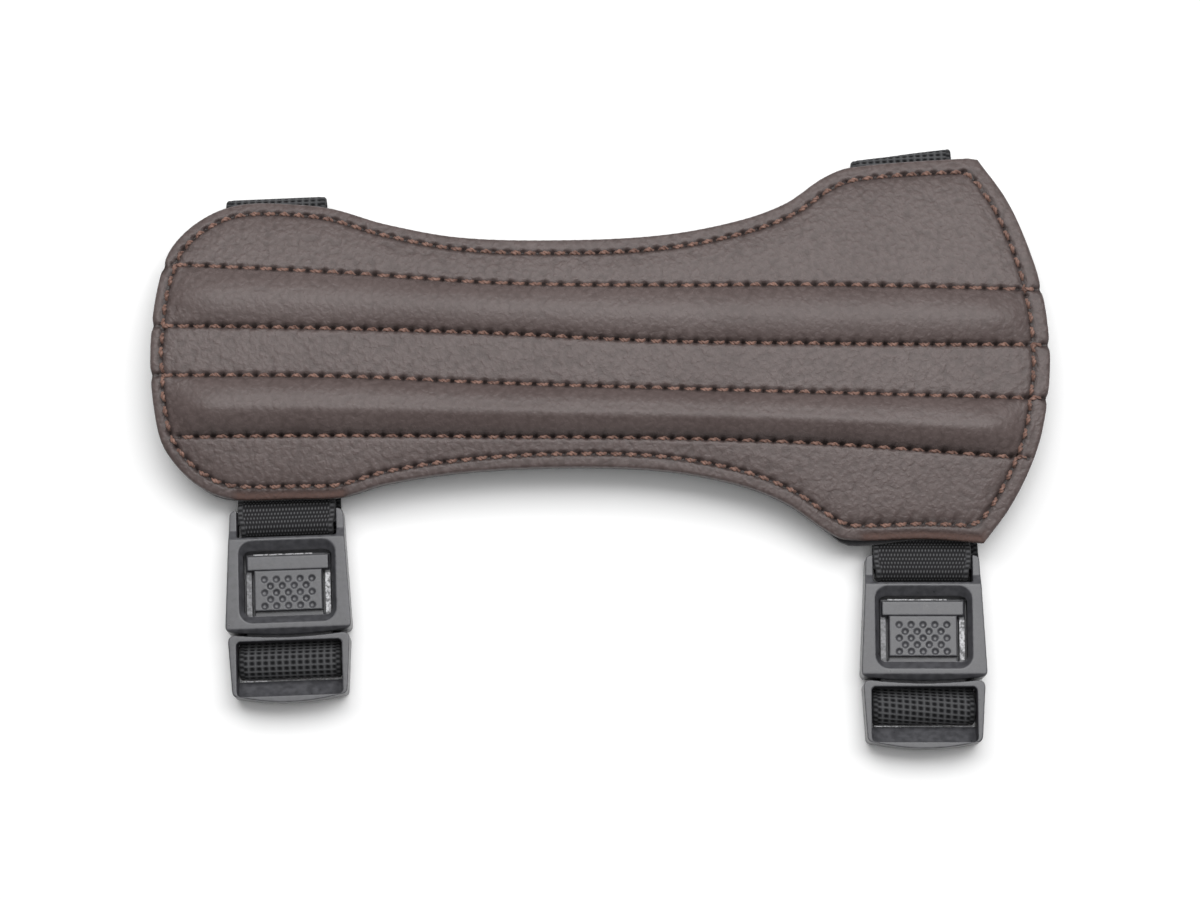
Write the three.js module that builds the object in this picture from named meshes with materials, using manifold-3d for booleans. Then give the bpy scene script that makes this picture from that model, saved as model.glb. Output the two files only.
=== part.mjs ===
// Archery arm guard: a ribbed leather face on a dark lining, worn on the forearm with two elastic
// straps. Each strap folds over the top edge, runs behind and ends in a side buckle that hangs from
// a webbing loop at the lower edge. The guard lies on its straps with the ribs up.
// Millimetres. X runs along the forearm from the wrist (-X), Y across it, and Z is up from the table.
import * as THREE from "three";
import { mergeVertices } from "three/addons/utils/BufferGeometryUtils.js";
import Module from "manifold-3d";

const wasm = await Module();
wasm.setup();

// Clearances, and how cuts and joins are made
const gap = 0.3; // between pieces that touch
const sewnGap = 0.45; // between a sewn band end and the curved lining
const beyond = 1; // how far a cutter reaches past what it cuts
const seat = 0.5; // how far a bar runs into the rails that hold it
const curveSteps = 8; // straight steps along each curve of a buckle's plan
const bendSteps = 6; // and along each bend of a band
const weld = 1e-4; // points closer than this are one

// Panel outline in plan: the long edges as y over x, the ends as x over y
const topEdge = [
  { x: -81.9, y: 42.5 },
  { x: -77.4, y: 45.8 },
  { x: -71.3, y: 47.8 },
  { x: -60.7, y: 47.6 },
  { x: -52.9, y: 46.5 },
  { x: -42.8, y: 43.3 },
  { x: -27.8, y: 40.4 },
  { x: -7.9, y: 39.8 },
  { x: 11.9, y: 40.8 },
  { x: 26.9, y: 43.7 },
  { x: 36.9, y: 47.5 },
  { x: 44.4, y: 52.9 },
  { x: 50.0, y: 55.2 },
  { x: 73.0, y: 57.1 },
  { x: 75.4, y: 56.8 },
];
const lowerEdge = (flareCorner) => [
  { x: -81.2, y: -7.7 },
  { x: -76.4, y: -10.8 },
  { x: -72.1, y: -11.8 },
  { x: -59.9, y: -11.6 },
  { x: -50.8, y: -11.3 },
  { x: -42.3, y: -8.9 },
  { x: -27.5, y: -6.7 },
  { x: -7.9, y: -5.7 },
  { x: 11.8, y: -6.3 },
  { x: 26.5, y: -8.9 },
  { x: 36.4, y: -12.6 },
  { x: 44.2, y: -17.8 },
  flareCorner,
  { x: 64.3, y: -19.6 },
  { x: 75.4, y: -20.4 },
];
const wristEnd = [
  { y: -7.7, x: -81.2 },
  { y: -2.1, x: -85.9 },
  { y: 3.7, x: -87.4 },
  { y: 13.0, x: -88.5 },
  { y: 23.6, x: -88.3 },
  { y: 31.9, x: -87.2 },
  { y: 38.2, x: -85.1 },
  { y: 42.5, x: -81.9 },
];
const forearmEnd = [
  { y: -20.4, x: 75.4 },
  { y: -14.0, x: 80.2 },
  { y: -6.2, x: 84.3 },
  { y: 1.6, x: 86.9 },
  { y: 13.5, x: 88.5 },
  { y: 23.6, x: 88.1 },
  { y: 31.8, x: 86.7 },
  { y: 40.1, x: 84.2 },
  { y: 48.5, x: 80.7 },
  { y: 56.8, x: 75.4 },
];

// The four seams that bound the ribs, as y over x
const seams = [
  { x: -88, lowerRibFoot: 0.8, lowerRibHead: 12.5, upperRibFoot: 23.5, upperRibHead: 35.5 },
  { x: -52, lowerRibFoot: 0.9, lowerRibHead: 12.3, upperRibFoot: 22.1, upperRibHead: 33.5 },
  { x: -20, lowerRibFoot: 0.3, lowerRibHead: 10.9, upperRibFoot: 21.1, upperRibHead: 31.6 },
  { x: 12, lowerRibFoot: 0.0, lowerRibHead: 9.9, upperRibFoot: 19.8, upperRibHead: 30.9 },
  { x: 44, lowerRibFoot: -0.9, lowerRibHead: 9.1, upperRibFoot: 19.3, upperRibHead: 30.9 },
  { x: 88, lowerRibFoot: -4.1, lowerRibHead: 7.0, upperRibFoot: 18.5, upperRibHead: 29.6 },
];
const seamNames = ["lowerRibFoot", "lowerRibHead", "upperRibFoot", "upperRibHead"];

// The panel arches across the arm, tighter at the wrist
const arch = {
  axisY: 18.5,
  crownZ: 10.5, // underside of the lining on the axis
  wrist: { x: -65, radius: 110 },
  forearm: { x: 63, radius: 183 },
};
const panelHalf = { length: 88.5, width: 38.5 };
const lining = { thickness: 1.2, inset: 0.2, flareCorner: { x: 48.9, y: -20.8 } };

// Leather face: thickness over the distance from the edge, with the border seam's groove
const leather = { seamGroove: 0.7, seamReach: 1.2, flareCorner: { x: 48.2, y: -19.7 } };
const border = [
  { in: 0, thickness: 1.2 },
  { in: 0.6, thickness: 1.8 },
  { in: 1.9, thickness: 1.9 },
  { in: 2.5, thickness: 1.4 },
  { in: 3.2, thickness: 2.1 },
  { in: 6, thickness: 2.4 },
];
// Padded ribs: rise above the flats and where across the rib the crest is, from its foot
const ribs = { 1: { rise: 3.2, crest: 0.58 }, 3: { rise: 2.9, crest: 0.52 } };
const ribStart = { from: 1, to: 12 }; // distances from a panel end between which a rib grows

// How finely the panels are drawn along their length: distances from each end, then even steps
const faceColumns = { fromEnd: [0, 0.6, 1.9, 2.5, 3.2, 6, 10], even: 26 };
const liningColumns = { fromEnd: [0, 3, 10], even: 26 };

// Bands
const strap = { width: 20, thickness: 1.4, sewn: 10, tailEnd: 2.6, leaveAngle: 45, bendRadius: 1.5 };
const loop = { width: 19.2, thickness: 1.3, sewn: 8 };

// Where each buckle is: the line where its halves meet, the turn in plan and its strap's fold
const sides = [
  {
    name: "wrist",
    joint: { x: -61.0, y: -37.6 },
    turn: 2.1,
    fold: { y: 84.9, shift: -0.8, skew: 0.4 },
    edgeY: 26.1,
  },
  {
    name: "forearm",
    joint: { x: 63.4, y: -46.7 },
    turn: 0,
    fold: { y: 103.1, shift: -2.9, skew: 7.5 },
    edgeY: 26.9,
  },
];

// Buckle body, from the joint line: plan half widths, heights above the table
const body = {
  halfWidthTop: 11.2,
  halfWidthLow: 12.3,
  top: 24.1,
  bow: 0.6,
  corner: 1.2,
  base: 1.7,
  front: 8.3,
  earFront: 6.6,
  earSlope: { from: 18.6, to: 15.8 },
  endSlope: { from: 1.4, z: 6.5 },
};
const loopBar = { from: 21.6, low: 3.8, high: 5.4 };
const loopSlot = { halfWidth: 9.8, from: 18.7 };
const windowRim = { halfWidth: 9.5, from: 1.6, to: 17.7, radius: 1.6 };
const windowFloor = { halfWidth: 8.6, from: 3.2, to: 15.9, radius: 1.2 };
const cavity = { halfWidth: 9.0, end: 16.9, low: 3.2, high: 6.5 };
const strapNotch = { halfWidth: 10, to: 3.4 }; // cut out of the back plate, clear of the strap's sewn tail

// Buckle tongue: frame, crossbar, finger lip and the button that shows in the window
const frame = {
  halfWidthTop: 11.9,
  halfWidthLow: 11.3,
  top: -0.6,
  end: -12.8,
  bow: { top: 0.6, end: 1.2 },
  corner: 1.4,
  low: 1.3,
  high: 7.6,
};
const opening = { halfWidth: 10.3, from: -12.7, to: -1.9, radius: 0.8 };
const crossbar = { y: -5.9, z: 3.1, radius: 1.4, sides: 12 };
const lip = { from: -9.6, low: 1.9, high: 4.8 };
const rootLow = 4.0; // underside of the frame's top rail and of the tongue
const tongue = { halfWidth: 8.4, end: 15.1, high: 4.9 };
const button = {
  high: 6.2,
  pad: { halfWidth: 6.7, from: 4.2 },
  head: { halfWidth: 8.0, from: 12.4, to: 15.1 },
};
const dimples = {
  rows: 5,
  across: 5,
  pitchX: 2.34,
  pitchY: 1.32,
  centreY: 7.8,
  radius: 0.75,
  depth: 0.45,
  sides: 8,
};

const finish = {
  leather: new THREE.MeshStandardMaterial({ color: 0x766b69, roughness: 0.55, metalness: 0 }),
  lining: new THREE.MeshStandardMaterial({ color: 0x2b2b2d, roughness: 0.9, metalness: 0 }),
  elastic: new THREE.MeshStandardMaterial({ color: 0x3b3d3e, roughness: 0.85, metalness: 0 }),
  webbing: new THREE.MeshStandardMaterial({ color: 0x2e2e30, roughness: 0.85, metalness: 0 }),
  plastic: new THREE.MeshStandardMaterial({ color: 0x85858a, roughness: 0.45, metalness: 0 }),
};

const { lerp, clamp, degToRad, smoothstep } = THREE.MathUtils;

// Reads a column of a table at a place between its rows, along a smooth cubic
function readTable(rows, along, column, at) {
  const last = rows.length - 1;
  let i = rows.findIndex((row) => row[along] > at) - 1;
  if (i < 0) i = at < rows[0][along] ? 0 : last - 1;
  const slope = (k) => {
    const before = rows[Math.max(k - 1, 0)];
    const after = rows[Math.min(k + 1, last)];
    return (after[column] - before[column]) / (after[along] - before[along]);
  };
  const span = rows[i + 1][along] - rows[i][along];
  const t = clamp((at - rows[i][along]) / span, 0, 1);
  const start = rows[i][column];
  const rise = rows[i + 1][column] - start;
  const a = slope(i) * span;
  const b = slope(i + 1) * span;
  return start + t * (a + t * (3 * rise - 2 * a - b + t * (a + b - 2 * rise)));
}

// Underside of the lining above the table
function archZ(x, y) {
  const along = (x - arch.wrist.x) / (arch.forearm.x - arch.wrist.x);
  const radius = lerp(arch.wrist.radius, arch.forearm.radius, along);
  return arch.crownZ - (y - arch.axisY) ** 2 / (2 * radius);
}

// Guide lines of a panel in plan, from the lower edge over the four seams to the top edge
function guideLines(lower) {
  const edgeLine = (rows) => {
    const y = (x) => readTable(rows, "x", "y", x);
    return { from: rows[0].x, to: rows.at(-1).x, y };
  };
  const seamLine = (name) => {
    const y = (x) => readTable(seams, "x", name, x);
    const from = readTable(wristEnd, "y", "x", y(seams[0].x));
    const to = readTable(forearmEnd, "y", "x", y(seams.at(-1).x));
    return { from, to, y };
  };
  return [edgeLine(lower), ...seamNames.map(seamLine), edgeLine(topEdge)];
}

// Plan points of a panel: u runs from the wrist end to the forearm end, band counts the strips
// between guide lines, t crosses a strip
function panelPlan(lower) {
  const guides = guideLines(lower);
  return (u, band, t) => {
    const pair = guides.slice(band, band + 2);
    const [low, high] = pair.map(({ from, to, y }) => {
      const x = lerp(from, to, u);
      return new THREE.Vector2(x, y(x));
    });
    const bulge = (table, end) => {
      const [a, b] = pair.map((guide) => guide[end]);
      const y = lerp(pair[0].y(a), pair[1].y(b), t);
      return readTable(table, "y", "x", y) - lerp(a, b, t);
    };
    const point = low.clone().lerp(high, t);
    point.x += (1 - u) * bulge(wristEnd, "from") + u * bulge(forearmEnd, "to");
    return { point, width: low.distanceTo(high) };
  };
}

// A closed solid between two grids of points that share a plan
function sheetSolid(top, bottom) {
  const rows = top.length;
  const columns = top[0].length;
  const positions = [...top.flat(), ...bottom.flat()].flatMap((p) => [p.x, p.y, p.z]);
  const index = [];
  const at = (row, column, layer) => (layer * rows + row) * columns + column;
  const quad = (a, b, c, d) => index.push(a, b, c, a, c, d);
  for (let r = 0; r < rows - 1; r++) {
    for (let c = 0; c < columns - 1; c++) {
      quad(at(r, c, 0), at(r, c + 1, 0), at(r + 1, c + 1, 0), at(r + 1, c, 0));
      quad(at(r, c, 1), at(r + 1, c, 1), at(r + 1, c + 1, 1), at(r, c + 1, 1));
    }
  }
  for (let c = 0; c < columns - 1; c++) {
    quad(at(0, c, 1), at(0, c + 1, 1), at(0, c + 1, 0), at(0, c, 0));
    quad(at(rows - 1, c, 0), at(rows - 1, c + 1, 0), at(rows - 1, c + 1, 1), at(rows - 1, c, 1));
  }
  for (let r = 0; r < rows - 1; r++) {
    quad(at(r, 0, 0), at(r + 1, 0, 0), at(r + 1, 0, 1), at(r, 0, 1));
    quad(at(r, columns - 1, 1), at(r + 1, columns - 1, 1), at(r + 1, columns - 1, 0), at(r, columns - 1, 0));
  }
  const geometry = new THREE.BufferGeometry();
  geometry.setAttribute("position", new THREE.Float32BufferAttribute(positions, 3));
  geometry.setIndex(index);
  geometry.computeVertexNormals();
  return geometry;
}

// Columns of a panel as shares of its length: close together at both ends, even between
function columnPlaces({ fromEnd, even }) {
  const near = fromEnd.map((step) => step / (2 * panelHalf.length));
  const inner = near.at(-1);
  const between = Array.from({ length: even - 1 }, (_, i) => lerp(inner, 1 - inner, (i + 1) / even));
  return [...near, ...between, ...near.map((u) => 1 - u).reverse()];
}

// Rows across a strip, as distances from its low side, the strip being width wide
const edgeSteps = border.slice(0, -1).map((row) => row.in);
const reach = leather.seamReach;
const edgeStrip = (w) => [...edgeSteps, (edgeSteps.at(-1) + w - reach) / 2, w - reach];
const flatStrip = (w) => [0, reach, w / 2, w - reach];
const ribStrip = (w) => [0, reach, 0.3 * w, 0.5 * w, 0.7 * w, w - reach];
const topStrip = (w) => [...edgeStrip(w), w].map((step) => w - step).reverse();
const faceStrips = [edgeStrip, ribStrip, flatStrip, ribStrip, topStrip];
const halfStrip = (w) => [0, w / 2];
const liningStrips = [halfStrip, halfStrip, halfStrip, halfStrip, (w) => [0, w / 2, w]];

// Grid of plan points with what the relief needs at each
function panelGrid(lower, strips, columns) {
  const plan = panelPlan(lower);
  const cellAt = (u, band, strip, row) => {
    const { width } = plan(u, band, 0);
    const across = strip(width)[row];
    const { point } = plan(u, band, across / width);
    const fromEnd = Math.min(u, 1 - u) * 2 * panelHalf.length;
    return { point, band, width, across, fromEnd };
  };
  return strips.flatMap((strip, band) => {
    const rows = strip(panelHalf.width);
    return rows.map((_, row) => columns.map((u) => cellAt(u, band, strip, row)));
  });
}

// Thickness of the leather face: border, seam grooves and ribs
function faceThickness({ band, width, across, fromEnd }) {
  const fromEdge = Math.min(fromEnd, band === 0 ? across : Infinity, band === 4 ? width - across : Infinity);
  const base = readTable(border, "in", "thickness", Math.min(fromEdge, border.at(-1).in));
  const fromSeam = Math.min(band > 0 ? across : Infinity, band < 4 ? width - across : Infinity);
  const inside = smoothstep(fromEnd, 0, border.at(-1).in);
  const groove = leather.seamGroove * (1 - smoothstep(fromSeam, 0, leather.seamReach)) * inside;
  const rib = ribs[band];
  if (!rib) return base - groove;
  const t = across / width;
  const swell = t < rib.crest ? t / rib.crest : (1 - t) / (1 - rib.crest);
  const grown = smoothstep(fromEnd, ribStart.from, ribStart.to);
  return base - groove + rib.rise * Math.sin((swell * Math.PI) / 2) * grown;
}

function facePanel() {
  const grid = panelGrid(lowerEdge(leather.flareCorner), faceStrips, columnPlaces(faceColumns));
  const floorZ = lining.thickness + gap;
  const place = (cell, lift) => {
    const { x, y } = cell.point;
    return new THREE.Vector3(x, y, archZ(x, y) + floorZ + lift);
  };
  const top = grid.map((row) => row.map((cell) => place(cell, faceThickness(cell))));
  const bottom = grid.map((row) => row.map((cell) => place(cell, 0)));
  return sheetSolid(top, bottom);
}

// The lining is cut a little smaller than the face, but shows at the flare's lower corner
function backPanel() {
  const { flareCorner, inset, thickness } = lining;
  const grid = panelGrid(lowerEdge(flareCorner), liningStrips, columnPlaces(liningColumns));
  const place = (cell, lift) => {
    const x = cell.point.x * (1 - inset / panelHalf.length);
    const y = arch.axisY + (cell.point.y - arch.axisY) * (1 - inset / panelHalf.width);
    return new THREE.Vector3(x, y, archZ(x, y) + lift);
  };
  const top = grid.map((row) => row.map((cell) => place(cell, thickness)));
  const bottom = grid.map((row) => row.map((cell) => place(cell, 0)));
  return sheetSolid(top, bottom);
}

// Extrudes a side profile drawn in (Y, Z) across X, centred
function acrossX(shape, width) {
  const geometry = new THREE.ExtrudeGeometry(shape, { depth: width, bevelEnabled: false });
  geometry.translate(0, 0, -width / 2);
  const turn = new THREE.Matrix4().makeBasis(
    new THREE.Vector3(0, 1, 0),
    new THREE.Vector3(0, 0, 1),
    new THREE.Vector3(1, 0, 0),
  );
  return geometry.applyMatrix4(turn);
}

// Extrudes a plan shape between two heights
function upright(shape, low, high) {
  return new THREE.ExtrudeGeometry(shape, { depth: high - low, bevelEnabled: false }).translate(0, 0, low);
}

// A flat band that follows a side path in (Y, Z), thickened to both sides of it; move adjusts each point
function bandSolid(path, { width, thickness }, move) {
  const distinct = (p, i, all) => i === 0 || p.distanceTo(all[i - 1]) > weld;
  const line = path.getPoints(bendSteps).filter(distinct);
  const layer = (x, side) =>
    line.map((p, i) => {
      const along = line[Math.min(i + 1, line.length - 1)].clone().sub(line[Math.max(i - 1, 0)]);
      const offset = new THREE.Vector2(along.y, -along.x).setLength((side * thickness) / 2);
      return move(new THREE.Vector3(x, p.x + offset.x, p.y + offset.y));
    });
  const edges = [-width / 2, width / 2];
  return sheetSolid(edges.map((x) => layer(x, 1)), edges.map((x) => layer(x, -1)));
}

// The elastic strap: tail sewn on itself, round the crossbar, along the table, folded at the top
// edge and sewn under the lining, whose arch its end follows
function strapBand(side, group) {
  const half = strap.thickness / 2;
  const ring = crossbar.radius + gap + half;
  const tailZ = half + strap.thickness + gap;
  const leave = degToRad(strap.leaveAngle);
  const leaveY = crossbar.y + ring * Math.cos(leave);
  const leaveZ = crossbar.z + ring * Math.sin(leave);
  const kneeY = leaveY + (leaveZ - tailZ) / Math.tan(leave);
  const bendY = kneeY + strap.bendRadius * Math.tan(leave / 2);
  const foldPoint = new THREE.Vector3(side.fold.shift, side.fold.y, 0).applyMatrix4(group.matrix);
  const sewnZ = archZ(foldPoint.x, foldPoint.y) - sewnGap - half;
  const foldRadius = (sewnZ - half) / 2;
  const foldZ = half + foldRadius;
  const path = new THREE.Path();
  path.moveTo(strap.tailEnd, tailZ);
  path.lineTo(bendY, tailZ);
  path.absarc(bendY, tailZ + strap.bendRadius, strap.bendRadius, -Math.PI / 2, -Math.PI / 2 - leave, true);
  path.lineTo(leaveY, leaveZ);
  path.absarc(crossbar.y, crossbar.z, ring, leave, (3 * Math.PI) / 2, false);
  path.lineTo(body.top, half);
  path.lineTo(side.fold.y, half);
  path.absarc(side.fold.y, foldZ, foldRadius, -Math.PI / 2, Math.PI / 2, false);
  path.lineTo(side.fold.y - strap.sewn / 2, sewnZ);
  path.lineTo(side.fold.y - strap.sewn, sewnZ);
  const tan = Math.tan(degToRad(side.fold.skew));
  return bandSolid(path, strap, (p) => {
    const sewn = p.z > foldZ && p.y < side.fold.y && p.y > body.top;
    const toFold = clamp((p.y - body.top) / (side.fold.y - strap.sewn - body.top), 0, 1);
    p.y += p.x * tan * toFold;
    p.x += side.fold.shift * toFold;
    if (!sewn) return p;
    const at = p.clone().applyMatrix4(group.matrix);
    p.z += archZ(at.x, at.y) - archZ(foldPoint.x, foldPoint.y);
    return p;
  });
}

// The webbing loop: sewn under the lower edge, folded round the bar of the buckle's body
function loopBand(side, group) {
  const half = loop.thickness / 2;
  const backZ = loopBar.low - gap - half;
  const frontZ = loopBar.high + gap + half;
  const middleZ = (backZ + frontZ) / 2;
  const edgePoint = new THREE.Vector3(0, side.edgeY, 0).applyMatrix4(group.matrix);
  const sewnFrontZ = archZ(edgePoint.x, edgePoint.y) - sewnGap - half;
  const sewnBackZ = sewnFrontZ - loop.thickness - sewnGap;
  const run = side.edgeY - body.top;
  const path = new THREE.Path();
  path.moveTo(side.edgeY + loop.sewn, sewnBackZ);
  path.lineTo(side.edgeY + loop.sewn / 2, sewnBackZ);
  path.lineTo(side.edgeY, sewnBackZ);
  path.lineTo(body.top, backZ);
  path.lineTo(loopBar.from, backZ);
  path.absarc(loopBar.from, middleZ, frontZ - middleZ, -Math.PI / 2, Math.PI / 2, true);
  path.lineTo(body.top, frontZ);
  path.bezierCurveTo(body.top + run / 2, frontZ, body.top + run / 2, sewnFrontZ, side.edgeY, sewnFrontZ);
  path.lineTo(side.edgeY + loop.sewn / 2, sewnFrontZ);
  path.lineTo(side.edgeY + loop.sewn, sewnFrontZ);
  return bandSolid(path, loop, (p) => {
    if (p.y <= side.edgeY) return p;
    const at = p.clone().applyMatrix4(group.matrix);
    p.z += archZ(at.x, at.y) - archZ(edgePoint.x, edgePoint.y);
    return p;
  });
}

// Solids for joining and cutting
function toSolid(geometry) {
  const bare = geometry.clone();
  bare.deleteAttribute("normal");
  bare.deleteAttribute("uv");
  const merged = mergeVertices(bare, weld);
  const vertProperties = new Float32Array(merged.getAttribute("position").array);
  const triVerts = new Uint32Array(merged.index.array);
  return new wasm.Manifold(new wasm.Mesh({ numProp: 3, vertProperties, triVerts }));
}

function toGeometry(solid) {
  const { vertProperties, triVerts } = solid.getMesh();
  const geometry = new THREE.BufferGeometry();
  geometry.setAttribute("position", new THREE.Float32BufferAttribute(vertProperties, 3));
  geometry.setIndex(new THREE.Uint32BufferAttribute(triVerts, 1));
  geometry.computeVertexNormals();
  return geometry;
}

// A box centred across X, between two places along Y and two heights
function box(halfWidth, yFrom, yTo, low, high) {
  const geometry = new THREE.BoxGeometry(2 * halfWidth, yTo - yFrom, high - low);
  return toSolid(geometry.translate(0, (yFrom + yTo) / 2, (low + high) / 2));
}

// A rounded rectangle in plan
function roundedRectangle({ halfWidth, from, to, radius }, arcSteps = 4) {
  const corners = [
    { x: halfWidth - radius, y: from + radius, start: -90 },
    { x: halfWidth - radius, y: to - radius, start: 0 },
    { x: radius - halfWidth, y: to - radius, start: 90 },
    { x: radius - halfWidth, y: from + radius, start: 180 },
  ];
  return corners.flatMap(({ x, y, start }) =>
    Array.from({ length: arcSteps + 1 }, (_, i) => {
      const angle = degToRad(start + (90 * i) / arcSteps);
      return new THREE.Vector2(x + radius * Math.cos(angle), y + radius * Math.sin(angle));
    }),
  );
}

// A closed solid through rings of equal count, each at its own height, from the lowest up
function ringSolid(levels) {
  const count = levels[0].ring.length;
  const positions = levels.flatMap(({ ring, z }) => ring.flatMap((p) => [p.x, p.y, z]));
  const index = [];
  for (let level = 0; level < levels.length - 1; level++) {
    for (let i = 0; i < count; i++) {
      const a = level * count + i;
      const b = level * count + ((i + 1) % count);
      index.push(a, b, b + count, a, b + count, a + count);
    }
  }
  const topStart = (levels.length - 1) * count;
  for (let i = 1; i < count - 1; i++) {
    index.push(0, i + 1, i);
    index.push(topStart, topStart + i, topStart + i + 1);
  }
  const geometry = new THREE.BufferGeometry();
  geometry.setAttribute("position", new THREE.Float32BufferAttribute(positions, 3));
  geometry.setIndex(index);
  return toSolid(geometry);
}

// Body of a buckle in plan: it widens to the joint, where its end bows out
function bodyPlan() {
  const { halfWidthTop, halfWidthLow, top, bow, corner } = body;
  const shape = new THREE.Shape();
  shape.moveTo(halfWidthTop, top - corner);
  shape.quadraticCurveTo(halfWidthTop, top, halfWidthTop - corner, top);
  shape.lineTo(corner - halfWidthTop, top);
  shape.quadraticCurveTo(-halfWidthTop, top, -halfWidthTop, top - corner);
  shape.lineTo(-halfWidthLow, corner);
  shape.quadraticCurveTo(-halfWidthLow, 0, corner - halfWidthLow, 0);
  shape.quadraticCurveTo(0, -2 * bow, halfWidthLow - corner, 0);
  shape.quadraticCurveTo(halfWidthLow, 0, halfWidthLow, corner);
  return shape;
}

function bodySide() {
  const { base, front, earFront, earSlope, endSlope, top, bow } = body;
  return new THREE.Shape([
    new THREE.Vector2(top, base),
    new THREE.Vector2(top, earFront),
    new THREE.Vector2(earSlope.from, earFront),
    new THREE.Vector2(earSlope.to, front),
    new THREE.Vector2(endSlope.from, front),
    new THREE.Vector2(-bow, endSlope.z),
    new THREE.Vector2(-bow, base),
  ]);
}

function buckleBody() {
  const plan = new THREE.Shape(bodyPlan().getPoints(curveSteps));
  const side = acrossX(bodySide(), 2 * (body.halfWidthLow + beyond));
  const block = toSolid(upright(plan, body.base, body.front)).intersect(toSolid(side));
  const under = body.base - beyond;
  const over = body.front + beyond;
  const pastTop = body.top + beyond;
  const pastEnd = -body.bow - beyond;
  const slot = box(loopSlot.halfWidth, loopSlot.from, loopBar.from, under, over);
  const underBar = box(loopSlot.halfWidth, loopSlot.from, pastTop, under, loopBar.low);
  const overBar = box(loopSlot.halfWidth, loopSlot.from, pastTop, loopBar.high, over);
  const hollow = box(cavity.halfWidth, pastEnd, cavity.end, cavity.low, cavity.high);
  const notch = box(strapNotch.halfWidth, pastEnd, strapNotch.to, under, cavity.low + gap);
  const window = ringSolid([
    { ring: roundedRectangle(windowFloor), z: cavity.high - beyond },
    { ring: roundedRectangle(windowFloor), z: cavity.high },
    { ring: roundedRectangle(windowRim), z: body.front },
    { ring: roundedRectangle(windowRim), z: over },
  ]);
  return [slot, underBar, overBar, hollow, notch, window].reduce((solid, cut) => solid.subtract(cut), block);
}

// Frame of the tongue in plan: hollowed at the joint, bowed at the far end
function framePlan() {
  const { halfWidthTop, halfWidthLow, top, end, bow, corner } = frame;
  const shape = new THREE.Shape();
  shape.moveTo(halfWidthTop, top - corner);
  shape.quadraticCurveTo(halfWidthTop, top, halfWidthTop - corner, top);
  shape.quadraticCurveTo(0, top - 2 * bow.top, corner - halfWidthTop, top);
  shape.quadraticCurveTo(-halfWidthTop, top, -halfWidthTop, top - corner);
  shape.lineTo(-halfWidthLow, end + corner);
  shape.quadraticCurveTo(-halfWidthLow, end, corner - halfWidthLow, end);
  shape.quadraticCurveTo(0, end - 2 * bow.end, halfWidthLow - corner, end);
  shape.quadraticCurveTo(halfWidthLow, end, halfWidthLow, end + corner);
  return shape;
}

// The finger lip slopes up from the slit to the rim
function lipSide() {
  return new THREE.Shape([
    new THREE.Vector2(lip.from, frame.low),
    new THREE.Vector2(lip.from, lip.low),
    new THREE.Vector2(opening.from, lip.high),
    new THREE.Vector2(opening.from - seat, lip.high),
    new THREE.Vector2(opening.from - seat, frame.low),
  ]);
}

function dimpleCutters() {
  const cutters = [];
  for (let row = 0; row < dimples.rows; row++) {
    const count = dimples.across - (row % 2);
    for (let i = 0; i < count; i++) {
      const x = (i - (count - 1) / 2) * dimples.pitchX;
      const y = dimples.centreY + ((dimples.rows - 1) / 2 - row) * dimples.pitchY;
      const cone = new THREE.ConeGeometry(2 * dimples.radius, 2 * dimples.depth, dimples.sides);
      cone.rotateX(-Math.PI / 2);
      cutters.push(toSolid(cone.translate(x, y, button.high)));
    }
  }
  return cutters;
}

function buckleTongue() {
  const { low, high } = frame;
  const { pad, head } = button;
  const plan = new THREE.Shape(framePlan().getPoints(curveSteps));
  const hole = ringSolid([
    { ring: roundedRectangle(opening), z: low - beyond },
    { ring: roundedRectangle(opening), z: high + beyond },
  ]);
  const underRail = box(opening.halfWidth, opening.to - gap, beyond, low - beyond, rootLow);
  const barLength = 2 * (opening.halfWidth + seat);
  const rod = new THREE.CylinderGeometry(crossbar.radius, crossbar.radius, barLength, crossbar.sides);
  rod.rotateZ(Math.PI / 2).translate(0, crossbar.y, crossbar.z);
  const joined = [
    toSolid(rod),
    toSolid(acrossX(lipSide(), barLength)),
    box(tongue.halfWidth, opening.to + gap, tongue.end, rootLow, tongue.high),
    box(pad.halfWidth, pad.from, head.from + gap, rootLow, button.high),
    box(head.halfWidth, head.from, head.to, rootLow, button.high),
  ];
  const shell = toSolid(upright(plan, low, high)).subtract(hole).subtract(underRail);
  const whole = joined.reduce((solid, piece) => solid.add(piece), shell);
  return dimpleCutters().reduce((solid, cut) => solid.subtract(cut), whole);
}

function named(name, geometry, material) {
  const mesh = new THREE.Mesh(geometry, material);
  mesh.name = name;
  return mesh;
}

const guard = new THREE.Group();
guard.add(named("face_panel", facePanel(), finish.leather));
guard.add(named("back_panel", backPanel(), finish.lining));
for (const side of sides) {
  const group = new THREE.Group();
  group.position.set(side.joint.x, side.joint.y, 0);
  group.rotation.z = degToRad(side.turn);
  group.updateMatrix();
  group.add(named(`${side.name}_strap`, strapBand(side, group), finish.elastic));
  group.add(named(`${side.name}_loop`, loopBand(side, group), finish.webbing));
  group.add(named(`${side.name}_buckle_body`, toGeometry(buckleBody()), finish.plastic));
  group.add(named(`${side.name}_buckle_tongue`, toGeometry(buckleTongue()), finish.plastic));
  guard.add(group);
}

export default guard;
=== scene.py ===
# Archery arm guard: ribbed leather face, felt lining, two elastic straps with side buckles
import math
import bpy
import numpy as np
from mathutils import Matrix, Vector
from mathutils.bvhtree import BVHTree
from mathutils.kdtree import KDTree


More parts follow.
